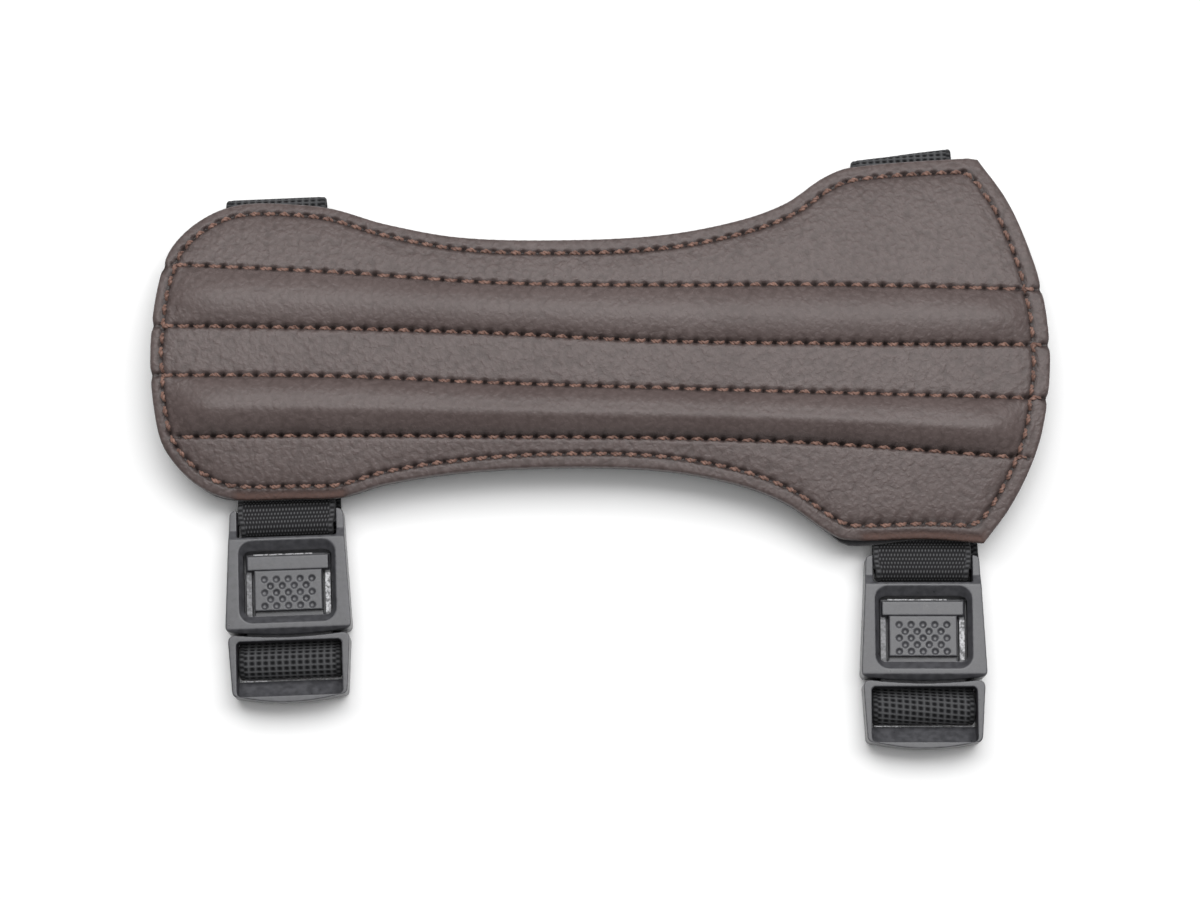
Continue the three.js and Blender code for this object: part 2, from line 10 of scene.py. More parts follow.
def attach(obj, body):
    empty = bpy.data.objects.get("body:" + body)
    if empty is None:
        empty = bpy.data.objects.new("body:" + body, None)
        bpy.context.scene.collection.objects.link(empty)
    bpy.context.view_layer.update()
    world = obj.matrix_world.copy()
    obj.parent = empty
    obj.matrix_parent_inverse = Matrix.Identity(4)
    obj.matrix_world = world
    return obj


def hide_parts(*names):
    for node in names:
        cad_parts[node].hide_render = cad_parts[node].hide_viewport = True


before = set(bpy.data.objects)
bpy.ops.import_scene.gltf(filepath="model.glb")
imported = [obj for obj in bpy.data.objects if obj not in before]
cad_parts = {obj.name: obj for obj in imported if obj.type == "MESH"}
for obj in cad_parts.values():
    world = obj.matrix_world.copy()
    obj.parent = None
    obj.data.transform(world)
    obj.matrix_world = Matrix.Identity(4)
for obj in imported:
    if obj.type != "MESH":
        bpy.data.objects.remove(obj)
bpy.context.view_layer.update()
mm = 0.001
print("frame loaded,", len(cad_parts), "nodes")


# Small helpers

def clearSelection():
    if bpy.context.mode != "OBJECT":
        bpy.ops.object.mode_set(mode="OBJECT")
    bpy.ops.object.select_all(action="DESELECT")


def pick(obj):  # the only selected object, and the active one
    clearSelection()
    obj.select_set(True)
    bpy.context.view_layer.objects.active = obj


def editAll(obj):  # into edit mode with everything selected
    pick(obj)
    bpy.ops.object.mode_set(mode="EDIT")
    bpy.ops.mesh.select_all(action="SELECT")


def applyModifier(obj, kind, **settings):
    pick(obj)
    modifier = obj.modifiers.new(kind.title(), kind)
    for key, value in settings.items():
        setattr(modifier, key, value)
    bpy.ops.object.modifier_apply(modifier=modifier.name)


def joinPieces(pieces):  # into the first one
    clearSelection()
    for piece in pieces:
        piece.select_set(True)
    bpy.context.view_layer.objects.active = pieces[0]
    bpy.ops.object.join()
    return pieces[0]


def readPoints(obj):
    points = np.empty(len(obj.data.vertices) * 3)
    obj.data.vertices.foreach_get("co", points)
    return points.reshape(-1, 3)


def writePoints(obj, points):
    obj.data.vertices.foreach_set("co", np.asarray(points, float).ravel())
    obj.data.update()


def pointAttribute(obj, name, values):
    layer = obj.data.attributes.new(name, "FLOAT", "POINT")
    layer.data.foreach_set("value", np.asarray(values, float).ravel())


def outward(obj):  # faces point outwards
    editAll(obj)
    bpy.ops.mesh.normals_make_consistent(inside=False)
    bpy.ops.object.mode_set(mode="OBJECT")


def smoothShade(obj, angle):  # degrees
    pick(obj)
    bpy.ops.object.shade_smooth_by_angle(angle=math.radians(angle))


def finishPiece(obj, material, node=None):
    obj.data.materials.clear()
    obj.data.materials.append(material)
    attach(obj, "root")
    if node:
        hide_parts(node)
    print("made", obj.name, len(obj.data.polygons), "faces")


def smoothStep(low, high, value):
    t = np.clip((value - low) / (high - low), 0, 1)
    return t * t * (3 - 2 * t)


def readTable(places, values, at):  # a smooth cubic through a short table
    places, values = np.asarray(places, float), np.asarray(values, float)
    slopes = np.empty_like(values)
    slopes[1:-1] = (values[2:] - values[:-2]) / (places[2:] - places[:-2])
    slopes[0] = (values[1] - values[0]) / (places[1] - places[0])
    slopes[-1] = (values[-1] - values[-2]) / (places[-1] - places[-2])
    at = np.clip(at, places[0], places[-1])
    i = np.clip(np.searchsorted(places, at, side="right") - 1, 0, len(places) - 2)
    span = places[i + 1] - places[i]
    t = (at - places[i]) / span
    rise = values[i + 1] - values[i]
    a, b = slopes[i] * span, slopes[i + 1] * span
    return values[i] + t * (a + t * (3 * rise - 2 * a - b + t * (a + b - 2 * rise)))


# Materials

def addNode(tree, kind, values=None, **settings):
    made = tree.nodes.new(kind)
    for key, value in settings.items():
        setattr(made, key, value)
    for key, value in (values or {}).items():
        if isinstance(value, bpy.types.NodeSocket):
            tree.links.new(value, made.inputs[key])
        else:
            made.inputs[key].default_value = value
    return made


def newMaterial(name, **sockets):
    material = bpy.data.materials.new(name)
    material.use_nodes = True
    shader = material.node_tree.nodes["Principled BSDF"]
    for key, value in sockets.items():
        shader.inputs[key.replace("_", " ")].default_value = value
    return material, material.node_tree, shader


def mathNode(tree, operation, first, second):
    return addNode(tree, "ShaderNodeMath", {0: first, 1: second}, operation=operation).outputs[0]


def objectPlace(tree):
    return addNode(tree, "ShaderNodeTexCoord").outputs["Object"]


def noiseNode(tree, place, scale, detail):
    values = {"Vector": place, "Scale": scale, "Detail": detail}
    return addNode(tree, "ShaderNodeTexNoise", values).outputs["Fac"]


def rangeNode(tree, value, low, high, top=1.0, kind="LINEAR"):  # low to high becomes 0 to top
    values = {"Value": value, "From Min": low, "From Max": high, "To Max": top}
    return addNode(tree, "ShaderNodeMapRange", values, interpolation_type=kind).outputs[0]


def vectorNode(tree, operation, values):
    return addNode(tree, "ShaderNodeVectorMath", values, operation=operation).outputs[0]


def cellNode(tree, feature, values):
    return addNode(tree, "ShaderNodeTexVoronoi", values, feature=feature).outputs["Distance"]


def attributeNode(tree, name):
    return addNode(tree, "ShaderNodeAttribute", attribute_name=name).outputs["Fac"]


def coat(tree, shader, tone, height, depth, strength):  # colour and fine relief, depth in mm
    tree.links.new(tone, shader.inputs["Base Color"])
    values = {"Height": height, "Distance": depth * mm, "Strength": strength}
    bump = addNode(tree, "ShaderNodeBump", values)
    tree.links.new(bump.outputs["Normal"], shader.inputs["Normal"])


def rampNode(tree, factor, stops):  # from one colour to another
    ramp = addNode(tree, "ShaderNodeValToRGB", {"Fac": factor})
    for point, (place, colour) in zip(ramp.color_ramp.elements, stops):
        point.position = place
        point.color = (*colour, 1)
    return ramp.outputs["Color"]


def mixColour(tree, factor, first, second):
    return addNode(tree, "ShaderNodeMix", {0: factor, 6: first, 7: second}, data_type="RGBA").outputs[2]


leatherLook = {
    "tones": [(0.35, (0.097, 0.0720, 0.0685)), (0.65, (0.113, 0.0860, 0.0820))],  # dark and light patches
    "patchScale": 55.0,
    "worn": (0.3, 0.75),  # patches where the creases open
    "seamShadeTone": (0.008, 0.004, 0.0035, 1),  # painted shade in the needle holes, along the seams and at the dents
    "rawTone": (0.105, 0.062, 0.052, 1),  # fibres of the cut edge
    # painted shade in the grain's hollows and opened creases
    "creaseShadeTone": (0.056, 0.040, 0.0370, 1),
    "roughness": 0.47,
    "gloss": 0.36,
    "rawRoughness": 0.4,  # added on the cut edge
    "grainSize": 1.0,  # mm
    "grainDepth": 0.15,  # mm
    "grainStrength": 0.75,
    "warp": {"scale": 0.7, "reach": 1.6},  # pushes the cells about: cells, mm
    # the dark ranges of pebble and fold paint shade into the hollows and creases
    "pebble": {"soft": 0.9, "depth": 1.3, "dark": (0.25, 0.75, 0.7)},
    "fold": {"scale": 0.5, "width": 0.22, "depth": 0.3, "dark": 0.35},
    "pore": {"scale": 3.5, "depth": 0.3},
    "fuzz": {"scale": 2600.0, "amount": 1.7},
    "pulledFlat": 0.3,  # how much of the grain goes where the leather is taut over a rib
}


def leatherMaterial(look):
    material, tree, shader = newMaterial("grainedLeather", Specular_IOR_Level=look["gloss"])
    place = objectPlace(tree)
    perCell = 1 / (look["grainSize"] * mm)
    warp, pebble, fold, pore, fuzz = (look[key] for key in ("warp", "pebble", "fold", "pore", "fuzz"))
    drift = noiseNode(tree, place, perCell * warp["scale"], 2.0).node.outputs["Color"]
    bent = vectorNode(tree, "SUBTRACT", {0: drift, 1: (0.5, 0.5, 0.5)})
    pushed = vectorNode(tree, "SCALE", {0: bent, "Scale": warp["reach"] * mm})
    moved = vectorNode(tree, "ADD", {0: place, 1: pushed})
    pebbles = cellNode(tree, "SMOOTH_F1", {"Vector": moved, "Scale": perCell, "Smoothness": pebble["soft"]})
    folds = cellNode(tree, "DISTANCE_TO_EDGE", {"Vector": moved, "Scale": perCell * fold["scale"]})
    pores = noiseNode(tree, place, perCell * pore["scale"], 3.0)
    patches = noiseNode(tree, place, look["patchScale"], 3.0)
    worn = rangeNode(tree, patches, *look["worn"])
    crease = rangeNode(tree, folds, 0.0, fold["width"], kind="SMOOTHSTEP")  # 0 in a crease
    opened = mathNode(tree, "MULTIPLY", mathNode(tree, "SUBTRACT", 1.0, crease), worn)
    relief = mathNode(tree, "MULTIPLY", pebbles, -pebble["depth"])
    relief = mathNode(tree, "SUBTRACT", relief, mathNode(tree, "MULTIPLY", opened, fold["depth"]))
    relief = mathNode(tree, "ADD", relief, mathNode(tree, "MULTIPLY", pores, pore["depth"]))
    taut = mathNode(tree, "MULTIPLY", attributeNode(tree, "taut"), look["pulledFlat"])
    loose = mathNode(tree, "SUBTRACT", 1.0, taut)
    relief = mathNode(tree, "MULTIPLY", relief, loose)
    tone = rampNode(tree, patches, look["tones"])
    # painted shade: darker in the grain's hollows and opened creases, less where the leather is taut
    hollowShade = rangeNode(tree, pebbles, *pebble["dark"])
    hollowShade = mathNode(tree, "MAXIMUM", hollowShade, mathNode(tree, "MULTIPLY", opened, fold["dark"]))
    tone = mixColour(tree, mathNode(tree, "MULTIPLY", hollowShade, loose), tone, look["creaseShadeTone"])
    cut = attributeNode(tree, "cutEdge")
    rough = mathNode(tree, "MULTIPLY_ADD", cut, look["rawRoughness"])
    rough.node.inputs[2].default_value = look["roughness"]
    tree.links.new(rough, shader.inputs["Roughness"])
    fibres = mathNode(tree, "MULTIPLY", noiseNode(tree, place, fuzz["scale"], 3.0), fuzz["amount"])
    tone = mixColour(tree, mathNode(tree, "MULTIPLY", cut, fibres), tone, look["rawTone"])
    # painted shade: near black in the needle holes, along the seams and at the dents
    tone = mixColour(tree, attributeNode(tree, "seamShade"), tone, look["seamShadeTone"])
    coat(tree, shader, tone, relief, look["grainDepth"], look["grainStrength"])
    return material


feltLook = {"tone": (0.018, 0.018, 0.020), "pale": (0.040, 0.040, 0.043),
            "fibreScale": 2200.0, "fibreRoughness": 0.7, "depth": 0.25, "strength": 0.9}


def feltMaterial(look):
    material, tree, shader = newMaterial("charcoalFelt", Roughness=0.95, Sheen_Weight=0.25, Sheen_Roughness=0.6)
    fibres = noiseNode(tree, objectPlace(tree), look["fibreScale"], 5.0)
    fibres.node.inputs["Roughness"].default_value = look["fibreRoughness"]
    tone = rampNode(tree, fibres, [(0.35, look["tone"]), (0.7, look["pale"])])
    coat(tree, shader, tone, fibres, look["depth"], look["strength"])
    return material


threadLook = {"dark": (0.105, 0.052, 0.039), "pale": (0.255, 0.140, 0.106),
              "spinScale": 900.0, "fibreScale": 9000.0, "depth": 0.06, "strength": 0.6}


def threadMaterial(look):
    material, tree, shader = newMaterial("copperThread", Roughness=0.55, Sheen_Weight=0.15)
    place = objectPlace(tree)
    spin = noiseNode(tree, place, look["spinScale"], 3.0)
    tone = rampNode(tree, spin, [(0.3, look["dark"]), (0.7, look["pale"])])
    fibres = noiseNode(tree, place, look["fibreScale"], 2.0)
    coat(tree, shader, tone, fibres, look["depth"], look["strength"])
    return material


# dark and pale of each weave: painted shade between the yarns, painted highlight on their tops
elasticWeave = {"name": "ribbedElastic", "row": 0.93, "column": 1.35, "knot": 0.90, "depth": 0.22,
                "brick": False, "ridge": 3, "post": 2.4, "tie": 0.9,
                "dark": (0.003, 0.003, 0.004), "pale": (0.072, 0.073, 0.076)}
webbingWeave = {"name": "dottedWebbing", "row": 0.78, "column": 0.64, "knot": 0.92, "depth": 0.14,
                "brick": True, "post": 1.4,
                "dark": (0.012, 0.012, 0.013), "pale": (0.108, 0.108, 0.113)}
selvage = {"width": 1.1, "blend": (1.3, 0.8), "level": 0.35, "swing": 0.4}  # the bound edge of a band
fibreLook = {"scale": 6000.0, "depth": 0.05, "strength": 0.7, "least": 0.45}


def weaveHeight(weave, across, along, width):  # 0 between the yarns, 1 on top of one, places in mm
    line = 0.5 + 0.5 * np.cos(2 * np.pi * along / weave["row"])
    if weave["brick"]:  # short floats, each row half a step over
        offset = 0.5 * (np.floor(along / weave["row"]) % 2)
        post = 0.5 + 0.5 * np.cos(2 * np.pi * (across / weave["column"] + offset))
        height = (1 - line) * post ** weave["post"]
    else:  # cross ridges tied by posts, with holes between
        post = 0.5 + 0.5 * np.cos(2 * np.pi * across / weave["column"])
        height = 1 - (1 - line ** weave["ridge"]) * (1 - weave["tie"] * post ** weave["post"])
    fromEdge = width / 2 - np.abs(across)
    rounded = np.sin(np.pi * np.clip(fromEdge / selvage["width"], 0, 1))
    knots = selvage["level"] + selvage["swing"] * np.cos(2 * np.pi * along / weave["knot"]) * rounded
    bound = smoothStep(*selvage["blend"], fromEdge)
    return height * (1 - bound) + np.clip(knots, 0, 1) * bound


def weaveMaterial(weave):
    material, tree, shader = newMaterial(weave["name"], Roughness=0.8, Specular_IOR_Level=0.2,
                                         Sheen_Weight=0.05)
    fibres = noiseNode(tree, objectPlace(tree), fibreLook["scale"], 3.0)
    # painted shade between the yarns and painted highlight on their tops, from the yarn height, varied by the
    # fibre noise
    worn = mathNode(tree, "ADD", fibres, fibreLook["least"])
    worn = mathNode(tree, "MULTIPLY", attributeNode(tree, "yarn"), worn)
    tone = rampNode(tree, worn, [(0.1, weave["dark"]), (0.85, weave["pale"])])
    coat(tree, shader, tone, fibres, fibreLook["depth"], fibreLook["strength"])
    return material


# the pale flecked tone on narrow flats of the tongue is a painted glint
plasticLook = {"tone": (0.048, 0.048, 0.053), "pale": (0.072, 0.072, 0.079), "glintTone": (0.62, 0.62, 0.64, 1),
               "gloss": 0.52, "roughness": (0.16, 0.4),  # least, and how much the mottling adds
               "mottleScale": 750.0, "sparkScale": 4200.0, "sparkDepth": 0.02, "sparkStrength": 0.8,
               "fleckScale": 1700.0, "flecks": (0.4, 0.62)}


def plasticMaterial(look):
    material, tree, shader = newMaterial("satinPlastic", Specular_IOR_Level=look["gloss"])
    place = objectPlace(tree)
    mottle = noiseNode(tree, place, look["mottleScale"], 5.0)
    tone = rampNode(tree, mottle, [(0.38, look["tone"]), (0.62, look["pale"])])
    marks = rangeNode(tree, noiseNode(tree, place, look["fleckScale"], 4.0), *look["flecks"])
    # painted glints: pale flecks on the marked flats
    glintShare = mathNode(tree, "MULTIPLY", attributeNode(tree, "glintShare"), marks)
    tone = mixColour(tree, glintShare, tone, look["glintTone"])
    least, added = look["roughness"]
    rough = mathNode(tree, "MULTIPLY_ADD", mottle, added)
    rough.node.inputs[2].default_value = least
    tree.links.new(rough, shader.inputs["Roughness"])
    spark = noiseNode(tree, place, look["sparkScale"], 3.0)
    coat(tree, shader, tone, spark, look["sparkDepth"], look["sparkStrength"])
    return material


leather = leatherMaterial(leatherLook)
felt = feltMaterial(feltLook)
thread = threadMaterial(threadLook)
elastic = weaveMaterial(elasticWeave)
webbing = weaveMaterial(webbingWeave)
plastic = plasticMaterial(plasticLook)
print("materials ready")


# Camera, light and floor

studio = {
    "elevation": 80,  # degrees above the table, from the buckle side
    "distance": 720,  # mm
    "aim": (0, -1.4, 6),
    "lens": 109.1,
    "softboxes": [
        {"place": (60, 430, 950), "size": (1500, 700), "power": 13.0},  # main light, from beyond the folds
        {"place": (60, -30, 950), "size": (800, 560), "power": 3.9},  # overhead, for the sheen
    ],
    "fill": 0.08,
    "floorTone": (0.95, 0.95, 0.95, 1),
    "floorSize": 6,  # m
    "floorDrop": 0.05,  # mm below the part
}


def setStudio(look):
    aim = Vector(look["aim"]) * mm
    tilt = math.radians(look["elevation"])
    away = Vector((0, -math.cos(tilt), math.sin(tilt))) * look["distance"] * mm
    bpy.ops.object.camera_add(location=aim + away, rotation=(math.pi / 2 - tilt, 0, 0))
    camera = bpy.context.object
    camera.data.lens = look["lens"]
    camera.data.clip_start = 0.01
    bpy.context.scene.camera = camera
    for box in look["softboxes"]:
        place = Vector(box["place"]) * mm
        bpy.ops.object.light_add(type="AREA", location=place)
        light = bpy.context.object
        light.rotation_euler = (aim - place).to_track_quat("-Z", "Y").to_euler()
        light.data.shape = "RECTANGLE"
        light.data.size, light.data.size_y = (side * mm for side in box["size"])
        light.data.energy = box["power"]
    world = bpy.data.worlds.new("paleRoom")
    world.use_nodes = True
    world.node_tree.nodes["Background"].inputs["Color"].default_value = (1, 1, 1, 1)
    world.node_tree.nodes["Background"].inputs["Strength"].default_value = look["fill"]
    bpy.context.scene.world = world
    bpy.context.scene.view_settings.view_transform = "Standard"
    bpy.ops.mesh.primitive_plane_add(size=look["floorSize"], location=(0, 0, -look["floorDrop"] * mm))
    floor = bpy.context.object
    floor.name = "floor"
    material, _, shader = newMaterial("paleFloor", Roughness=0.9)
    shader.inputs["Base Color"].default_value = look["floorTone"]
    shader.inputs["Specular IOR Level"].default_value = 0.1
    floor.data.materials.append(material)


clearSelection()
setStudio(studio)
print("studio set")


# Panel plan: the outline, the seams and the arch across the arm, in mm

panel = {
    "topEdge": [(-81.9, 42.5), (-77.4, 45.8), (-71.3, 47.8), (-60.7, 47.6), (-52.9, 46.5), (-42.8, 43.3),
                (-27.8, 40.4), (-7.9, 39.8), (11.9, 40.8), (26.9, 43.7), (36.9, 47.5), (44.4, 52.9),
                (50.0, 55.2), (73.0, 57.1), (75.4, 56.8)],
    "lowerEdgeWrist": [(-81.2, -7.7), (-76.4, -10.8), (-72.1, -11.8), (-59.9, -11.6), (-50.8, -11.3),
                       (-42.3, -8.9), (-27.5, -6.7), (-7.9, -5.7), (11.8, -6.3), (26.5, -8.9), (36.4, -12.6),
                       (44.2, -17.8)],
    "lowerEdgeForearm": [(64.3, -19.6), (75.4, -20.4)],
    "flareCorner": {"face": (48.2, -19.7), "lining": (48.9, -20.8)},
    "wristEnd": [(-7.7, -81.2), (-2.1, -85.9), (3.7, -87.4), (13.0, -88.5), (23.6, -88.3), (31.9, -87.2),
                 (38.2, -85.1), (42.5, -81.9)],  # y, x
    "forearmEnd": [(-20.4, 75.4), (-14.0, 80.2), (-6.2, 84.3), (1.6, 86.9), (13.5, 88.5), (23.6, 88.1),
                   (31.8, 86.7), (40.1, 84.2), (48.5, 80.7), (56.8, 75.4)],  # y, x
    "seamX": (-88, -52, -20, 12, 44, 88),
    "seamY": {
        "lowerRibFoot": (0.1, 0.35, 0.1, -0.2, -1.3, -4.5),
        "lowerRibHead": (12.2, 11.9, 10.6, 9.6, 8.7, 7.5),
        "upperRibFoot": (22.1, 21.5, 20.5, 19.0, 18.5, 18.2),
        "upperRibHead": (34.9, 33.0, 30.8, 30.3, 30.4, 29.4),
    },
    "axisY": 18.5, "crownZ": 10.5,  # underside of the lining on the axis of the arch
    "wristArch": (-65, 110), "forearmArch": (63, 183),  # x, radius
    "length": 177,
}
feltThickness, sewnGap, layerGap = 1.2, 0.45, 0.3


def archZ(x, y):
    (wristX, wristR), (forearmX, forearmR) = panel["wristArch"], panel["forearmArch"]
    radius = wristR + (forearmR - wristR) * (x - wristX) / (forearmX - wristX)
    return panel["crownZ"] - (y - panel["axisY"]) ** 2 / (2 * radius)


def tableLine(rows):
    places, values = zip(*rows)
    return lambda at: readTable(places, values, at)


wristEnd, forearmEnd = tableLine(panel["wristEnd"]), tableLine(panel["forearmEnd"])
seamLines = [tableLine(list(zip(panel["seamX"], ys))) for ys in panel["seamY"].values()]


def guideLines(corner):  # (first x, last x, y over x), from the lower edge to the top edge
    lower = panel["lowerEdgeWrist"] + [panel["flareCorner"][corner]] + panel["lowerEdgeForearm"]
    edges = [(rows[0][0], rows[-1][0], tableLine(rows)) for rows in (lower, panel["topEdge"])]
    first, last = panel["seamX"][0], panel["seamX"][-1]
    seams = [(float(wristEnd(line(first))), float(forearmEnd(line(last))), line) for line in seamLines]
    return [edges[0], *seams, edges[1]]


def panelGrid(corner, along, strips):  # rows of plan points, along holds the places from 0 to 1
    guides = guideLines(corner)
    rows = []
    for band, strip in enumerate(strips):
        (lowFrom, lowTo, lowLine), (highFrom, highTo, highLine) = guides[band:band + 2]
        lowX = lowFrom + (lowTo - lowFrom) * along
        highX = highFrom + (highTo - highFrom) * along
        lowY, highY = lowLine(lowX), highLine(highX)
        width = np.hypot(highX - lowX, highY - lowY)
        for across in strip(width):
            t = across / width
            wristY = lowLine(lowFrom) + (highLine(highFrom) - lowLine(lowFrom)) * t
            forearmY = lowLine(lowTo) + (highLine(highTo) - lowLine(lowTo)) * t
            x = lowX + (highX - lowX) * t
            x = x + (1 - along) * (wristEnd(wristY) - lowFrom - (highFrom - lowFrom) * t)
            x = x + along * (forearmEnd(forearmY) - lowTo - (highTo - lowTo) * t)
            y = lowY + (highY - lowY) * t
            rows.append({"x": x, "y": y, "t": t, "band": np.full(len(x), band), "along": along})
    return {key: np.array([row[key] for row in rows]) for key in rows[0]}


def evenStrips(count):  # the same number of rows in each strip, the last one closed
    def even(width):
        return [width * k / count for k in range(count)]

    return [even] * 4 + [lambda width: even(width) + [width]]


def fromEnds(grid):  # distance from the nearer end of the panel
    return np.minimum(grid["along"], 1 - grid["along"]) * panel["length"]


def gridSheet(name, rows, columns):  # a flat grid primitive whose points run row by row
    clearSelection()
    bpy.ops.mesh.primitive_grid_add(x_subdivisions=columns - 1, y_subdivisions=rows - 1, size=1)
    sheet = bpy.context.object
    sheet.name = sheet.data.name = name
    return sheet


def addUnderside(sheet, lowZ):  # extruded down to a height worked out from x and y in mm
    editAll(sheet)
    bpy.ops.mesh.extrude_region_move(TRANSFORM_OT_translate={"value": (0, 0, -1)})
    bpy.ops.object.mode_set(mode="OBJECT")
    points = readPoints(sheet)
    low = points[:, 2] < -0.5
    points[low, 2] = lowZ(points[low, 0] / mm, points[low, 1] / mm) * mm
    writePoints(sheet, points)
    outward(sheet)


# Leather face

face = {
    "columnStep": 0.5,
    "edgeRows": (0, 0.12, 0.3, 0.55, 0.85, 1.2, 1.55, 1.9, 2.25, 2.6, 2.95, 3.35),
    "seamRows": (0, 0.35, 0.7, 1.1),
    "innerRows": (9, 13, 10, 13, 24),  # further rows inside each strip
    "edge": [(0, 1.5), (0.15, 1.72), (0.4, 1.84), (1.0, 1.89), (6, 1.9)],  # distance in, thickness
    "borderGroove": {"depth": 0.3, "reach": 0.42},
    "swell": {"from": 0.2, "to": 4.0, "rise": 0.28},  # the padded field inside the border seam
    "seamGroove": {"depth": 0.4, "reach": 0.42},
    "ribs": {1: {"rise": 3.5, "crest": 0.42, "soft": 0.42}, 3: {"rise": 2.2, "crest": 0.46, "soft": 0.3}},
    "ribStart": (1, 12),  # distances from an end between which a rib grows
    "puff": {"scale": 20, "start": 0.85, "pressure": 9.0, "frames": 20, "cap": 0.5, "step": 2.2, "rows": 9,
             "lift": 2.4, "heldEnd": 2},
    "cornerRun": 26,  # length of the grid that is evened out at each corner
    "evening": {"edge": 60, "inside": 2500},  # passes
    "cutDepth": {"reach": (1.7, 0.9), "lower": 0.45, "soft": 1},
    "grooveStart": (0.5, 6),  # distances from the edge between which a rib seam's groove deepens
    "tautRise": (0.2, 1.2),  # heights of a rib between which its leather becomes taut
    "thinnest": 0.5,
    "cutEdges": [{"x": -61, "half": 11}, {"x": 63.4, "half": 12}],  # bare cut edge above each loop
    "fill": 0.7,
}
stitch = {
    # x and distance from the edge
    "topInsets": [(-88, 2.1), (-78, 2.3), (-40, 2.4), (0, 2.85), (60, 2.8), (80, 3.1), (88, 3.2)],
    "lowInsets": [(-88, 2.1), (-78, 2.3), (-40, 2.2), (0, 2.5), (60, 2.7), (80, 3.1), (88, 3.2)],
    "borderPitch": 2.95,
    "ribPitches": (3.32, 3.25, 3.12, 3.37),
    "ribEnds": [(-82.6, 84.0), (-87.0, 86.9), (-86.8, 87.2), (-84.6, 85.9)],  # where each rib seam stops, x
    # the dark shares of the dent and of the holes, seams and border are painted shade
    "dent": {"pull": 0.32, "reach": 0.9, "depth": 0.35, "dark": 0.7},  # where a rib seam runs out over the edge
    "hole": {"reach": 0.56, "depth": 0.65, "above": 0.1},  # each lies a little above its thread
    "dark": {"hole": 0.97, "line": 0.4, "reach": 0.38, "border": 0.75, "borderReach": 0.58},
    "length": 0.76,  # of the step between two holes
    "plyRadius": 0.32,
    "plyOffset": 0.19,
    "turns": 1.1,
    "slant": 5,  # degrees
    "lift": 0.22,
    "dive": 3.2,  # how far the ends go down, in lifts
    "tip": 0.55,  # thickness at the ends
    "sides": 6,
    "rings": 6,
}


def stripRows(band):
    seam, edge, count = np.array(face["seamRows"]), np.array(face["edgeRows"]), face["innerRows"][band]

    def strip(width):
        first = edge if band == 0 else seam
        last = edge if band == 4 else seam
        inner = [first[-1] + (width - last[-1] - first[-1]) * (k + 1) / (count + 1) for k in range(count)]
        closing = [width - step for step in last[::-1]]
        rows = [np.full(len(width), step) for step in first] + inner + closing
        return rows if band == 4 else rows[:-1]

    return strip


def distanceTo(points, targets):  # from each plan point to the closest target
    tree = KDTree(len(targets))
    for index, (x, y) in enumerate(targets):
        tree.insert((x, y, 0), index)
    tree.balance()
    return np.array([tree.find((x, y, 0))[2] for x, y in points])


def resample(line, step):  # even steps along a plan line
    line = np.asarray(line, float)
    lengths = np.concatenate([[0], np.cumsum(np.hypot(*np.diff(line, axis=0).T))])
    count = max(int(round(lengths[-1] / step)), 1)
    at = np.linspace(0, lengths[-1], count + 1)
    return np.column_stack([np.interp(at, lengths, line[:, 0]), np.interp(at, lengths, line[:, 1])])


planStep = {"outline": 0.2, "seam": 0.25, "cornerSlack": 0.12}


def outlineLoop(grid):
    x, y = grid["x"], grid["y"]
    sides = [(x[0], y[0]), (x[:, -1], y[:, -1]), (x[-1, ::-1], y[-1, ::-1]), (x[::-1, 0], y[::-1, 0])]
    loop = np.concatenate([np.column_stack(side)[:-1] for side in sides])
    return resample(np.vstack([loop, loop[:1]]), planStep["outline"])


def borderInset(x, y):
    return np.where(y > panel["axisY"], tableLine(stitch["topInsets"])(x), tableLine(stitch["lowInsets"])(x))


def borderSeam(outline):  # the outline moved in, without the loops that form at its corners
    ahead, behind = np.roll(outline[:-1], -2, axis=0), np.roll(outline[:-1], 2, axis=0)
    along = ahead - behind
    inward = np.column_stack([-along[:, 1], along[:, 0]]) / np.hypot(*along.T)[:, None]
    inset = borderInset(*outline[:-1].T)
    moved = outline[:-1] + inward * inset[:, None]
    kept = moved[distanceTo(moved, outline) > inset - planStep["cornerSlack"]]
    return resample(np.vstack([kept, kept[:1]]), planStep["seam"])


def easeCorners(grid):  # spreads the points evenly where two edges run on into each other
    count = int(face["cornerRun"] / face["columnStep"])
    for axis in ("x", "y"):  # the wrist end turns into the long edges without a corner
        part = grid[axis]
        chain = np.concatenate([part[0, count:0:-1], part[:, 0], part[-1, 1:count]])
        for _ in range(face["evening"]["edge"]):
            chain[1:-1] = chain[1:-1] / 2 + (chain[:-2] + chain[2:]) / 4
        part[0, count:0:-1], part[:, 0], part[-1, 1:count] = np.split(chain, [count, count + len(part)])
    lowRows = int(np.argmax(grid["band"][:, 0] == 1)) + 1
    topRows = int(np.argmax(grid["band"][:, 0] == 4))
    for rows in (slice(0, lowRows), slice(topRows, None)):
        for columns, joined in ((slice(0, count), count - 1), (slice(-count, None), -count)):
            up = np.hypot(*(np.diff(grid[axis][rows, joined]) for axis in ("x", "y")))[:, None]
            weights = [2 / (up[:-1] * (up[:-1] + up[1:])), 2 / (up[1:] * (up[:-1] + up[1:]))]
            level = 1 / face["columnStep"] ** 2
            total = weights[0] + weights[1] + 2 * level
            for axis in ("x", "y"):
                part = grid[axis][rows, columns]
                for _ in range(face["evening"]["inside"]):
                    beside = level * (part[1:-1, :-2] + part[1:-1, 2:])
                    upDown = weights[0] * part[:-2, 1:-1] + weights[1] * part[2:, 1:-1]
                    part[1:-1, 1:-1] = (upDown + beside) / total


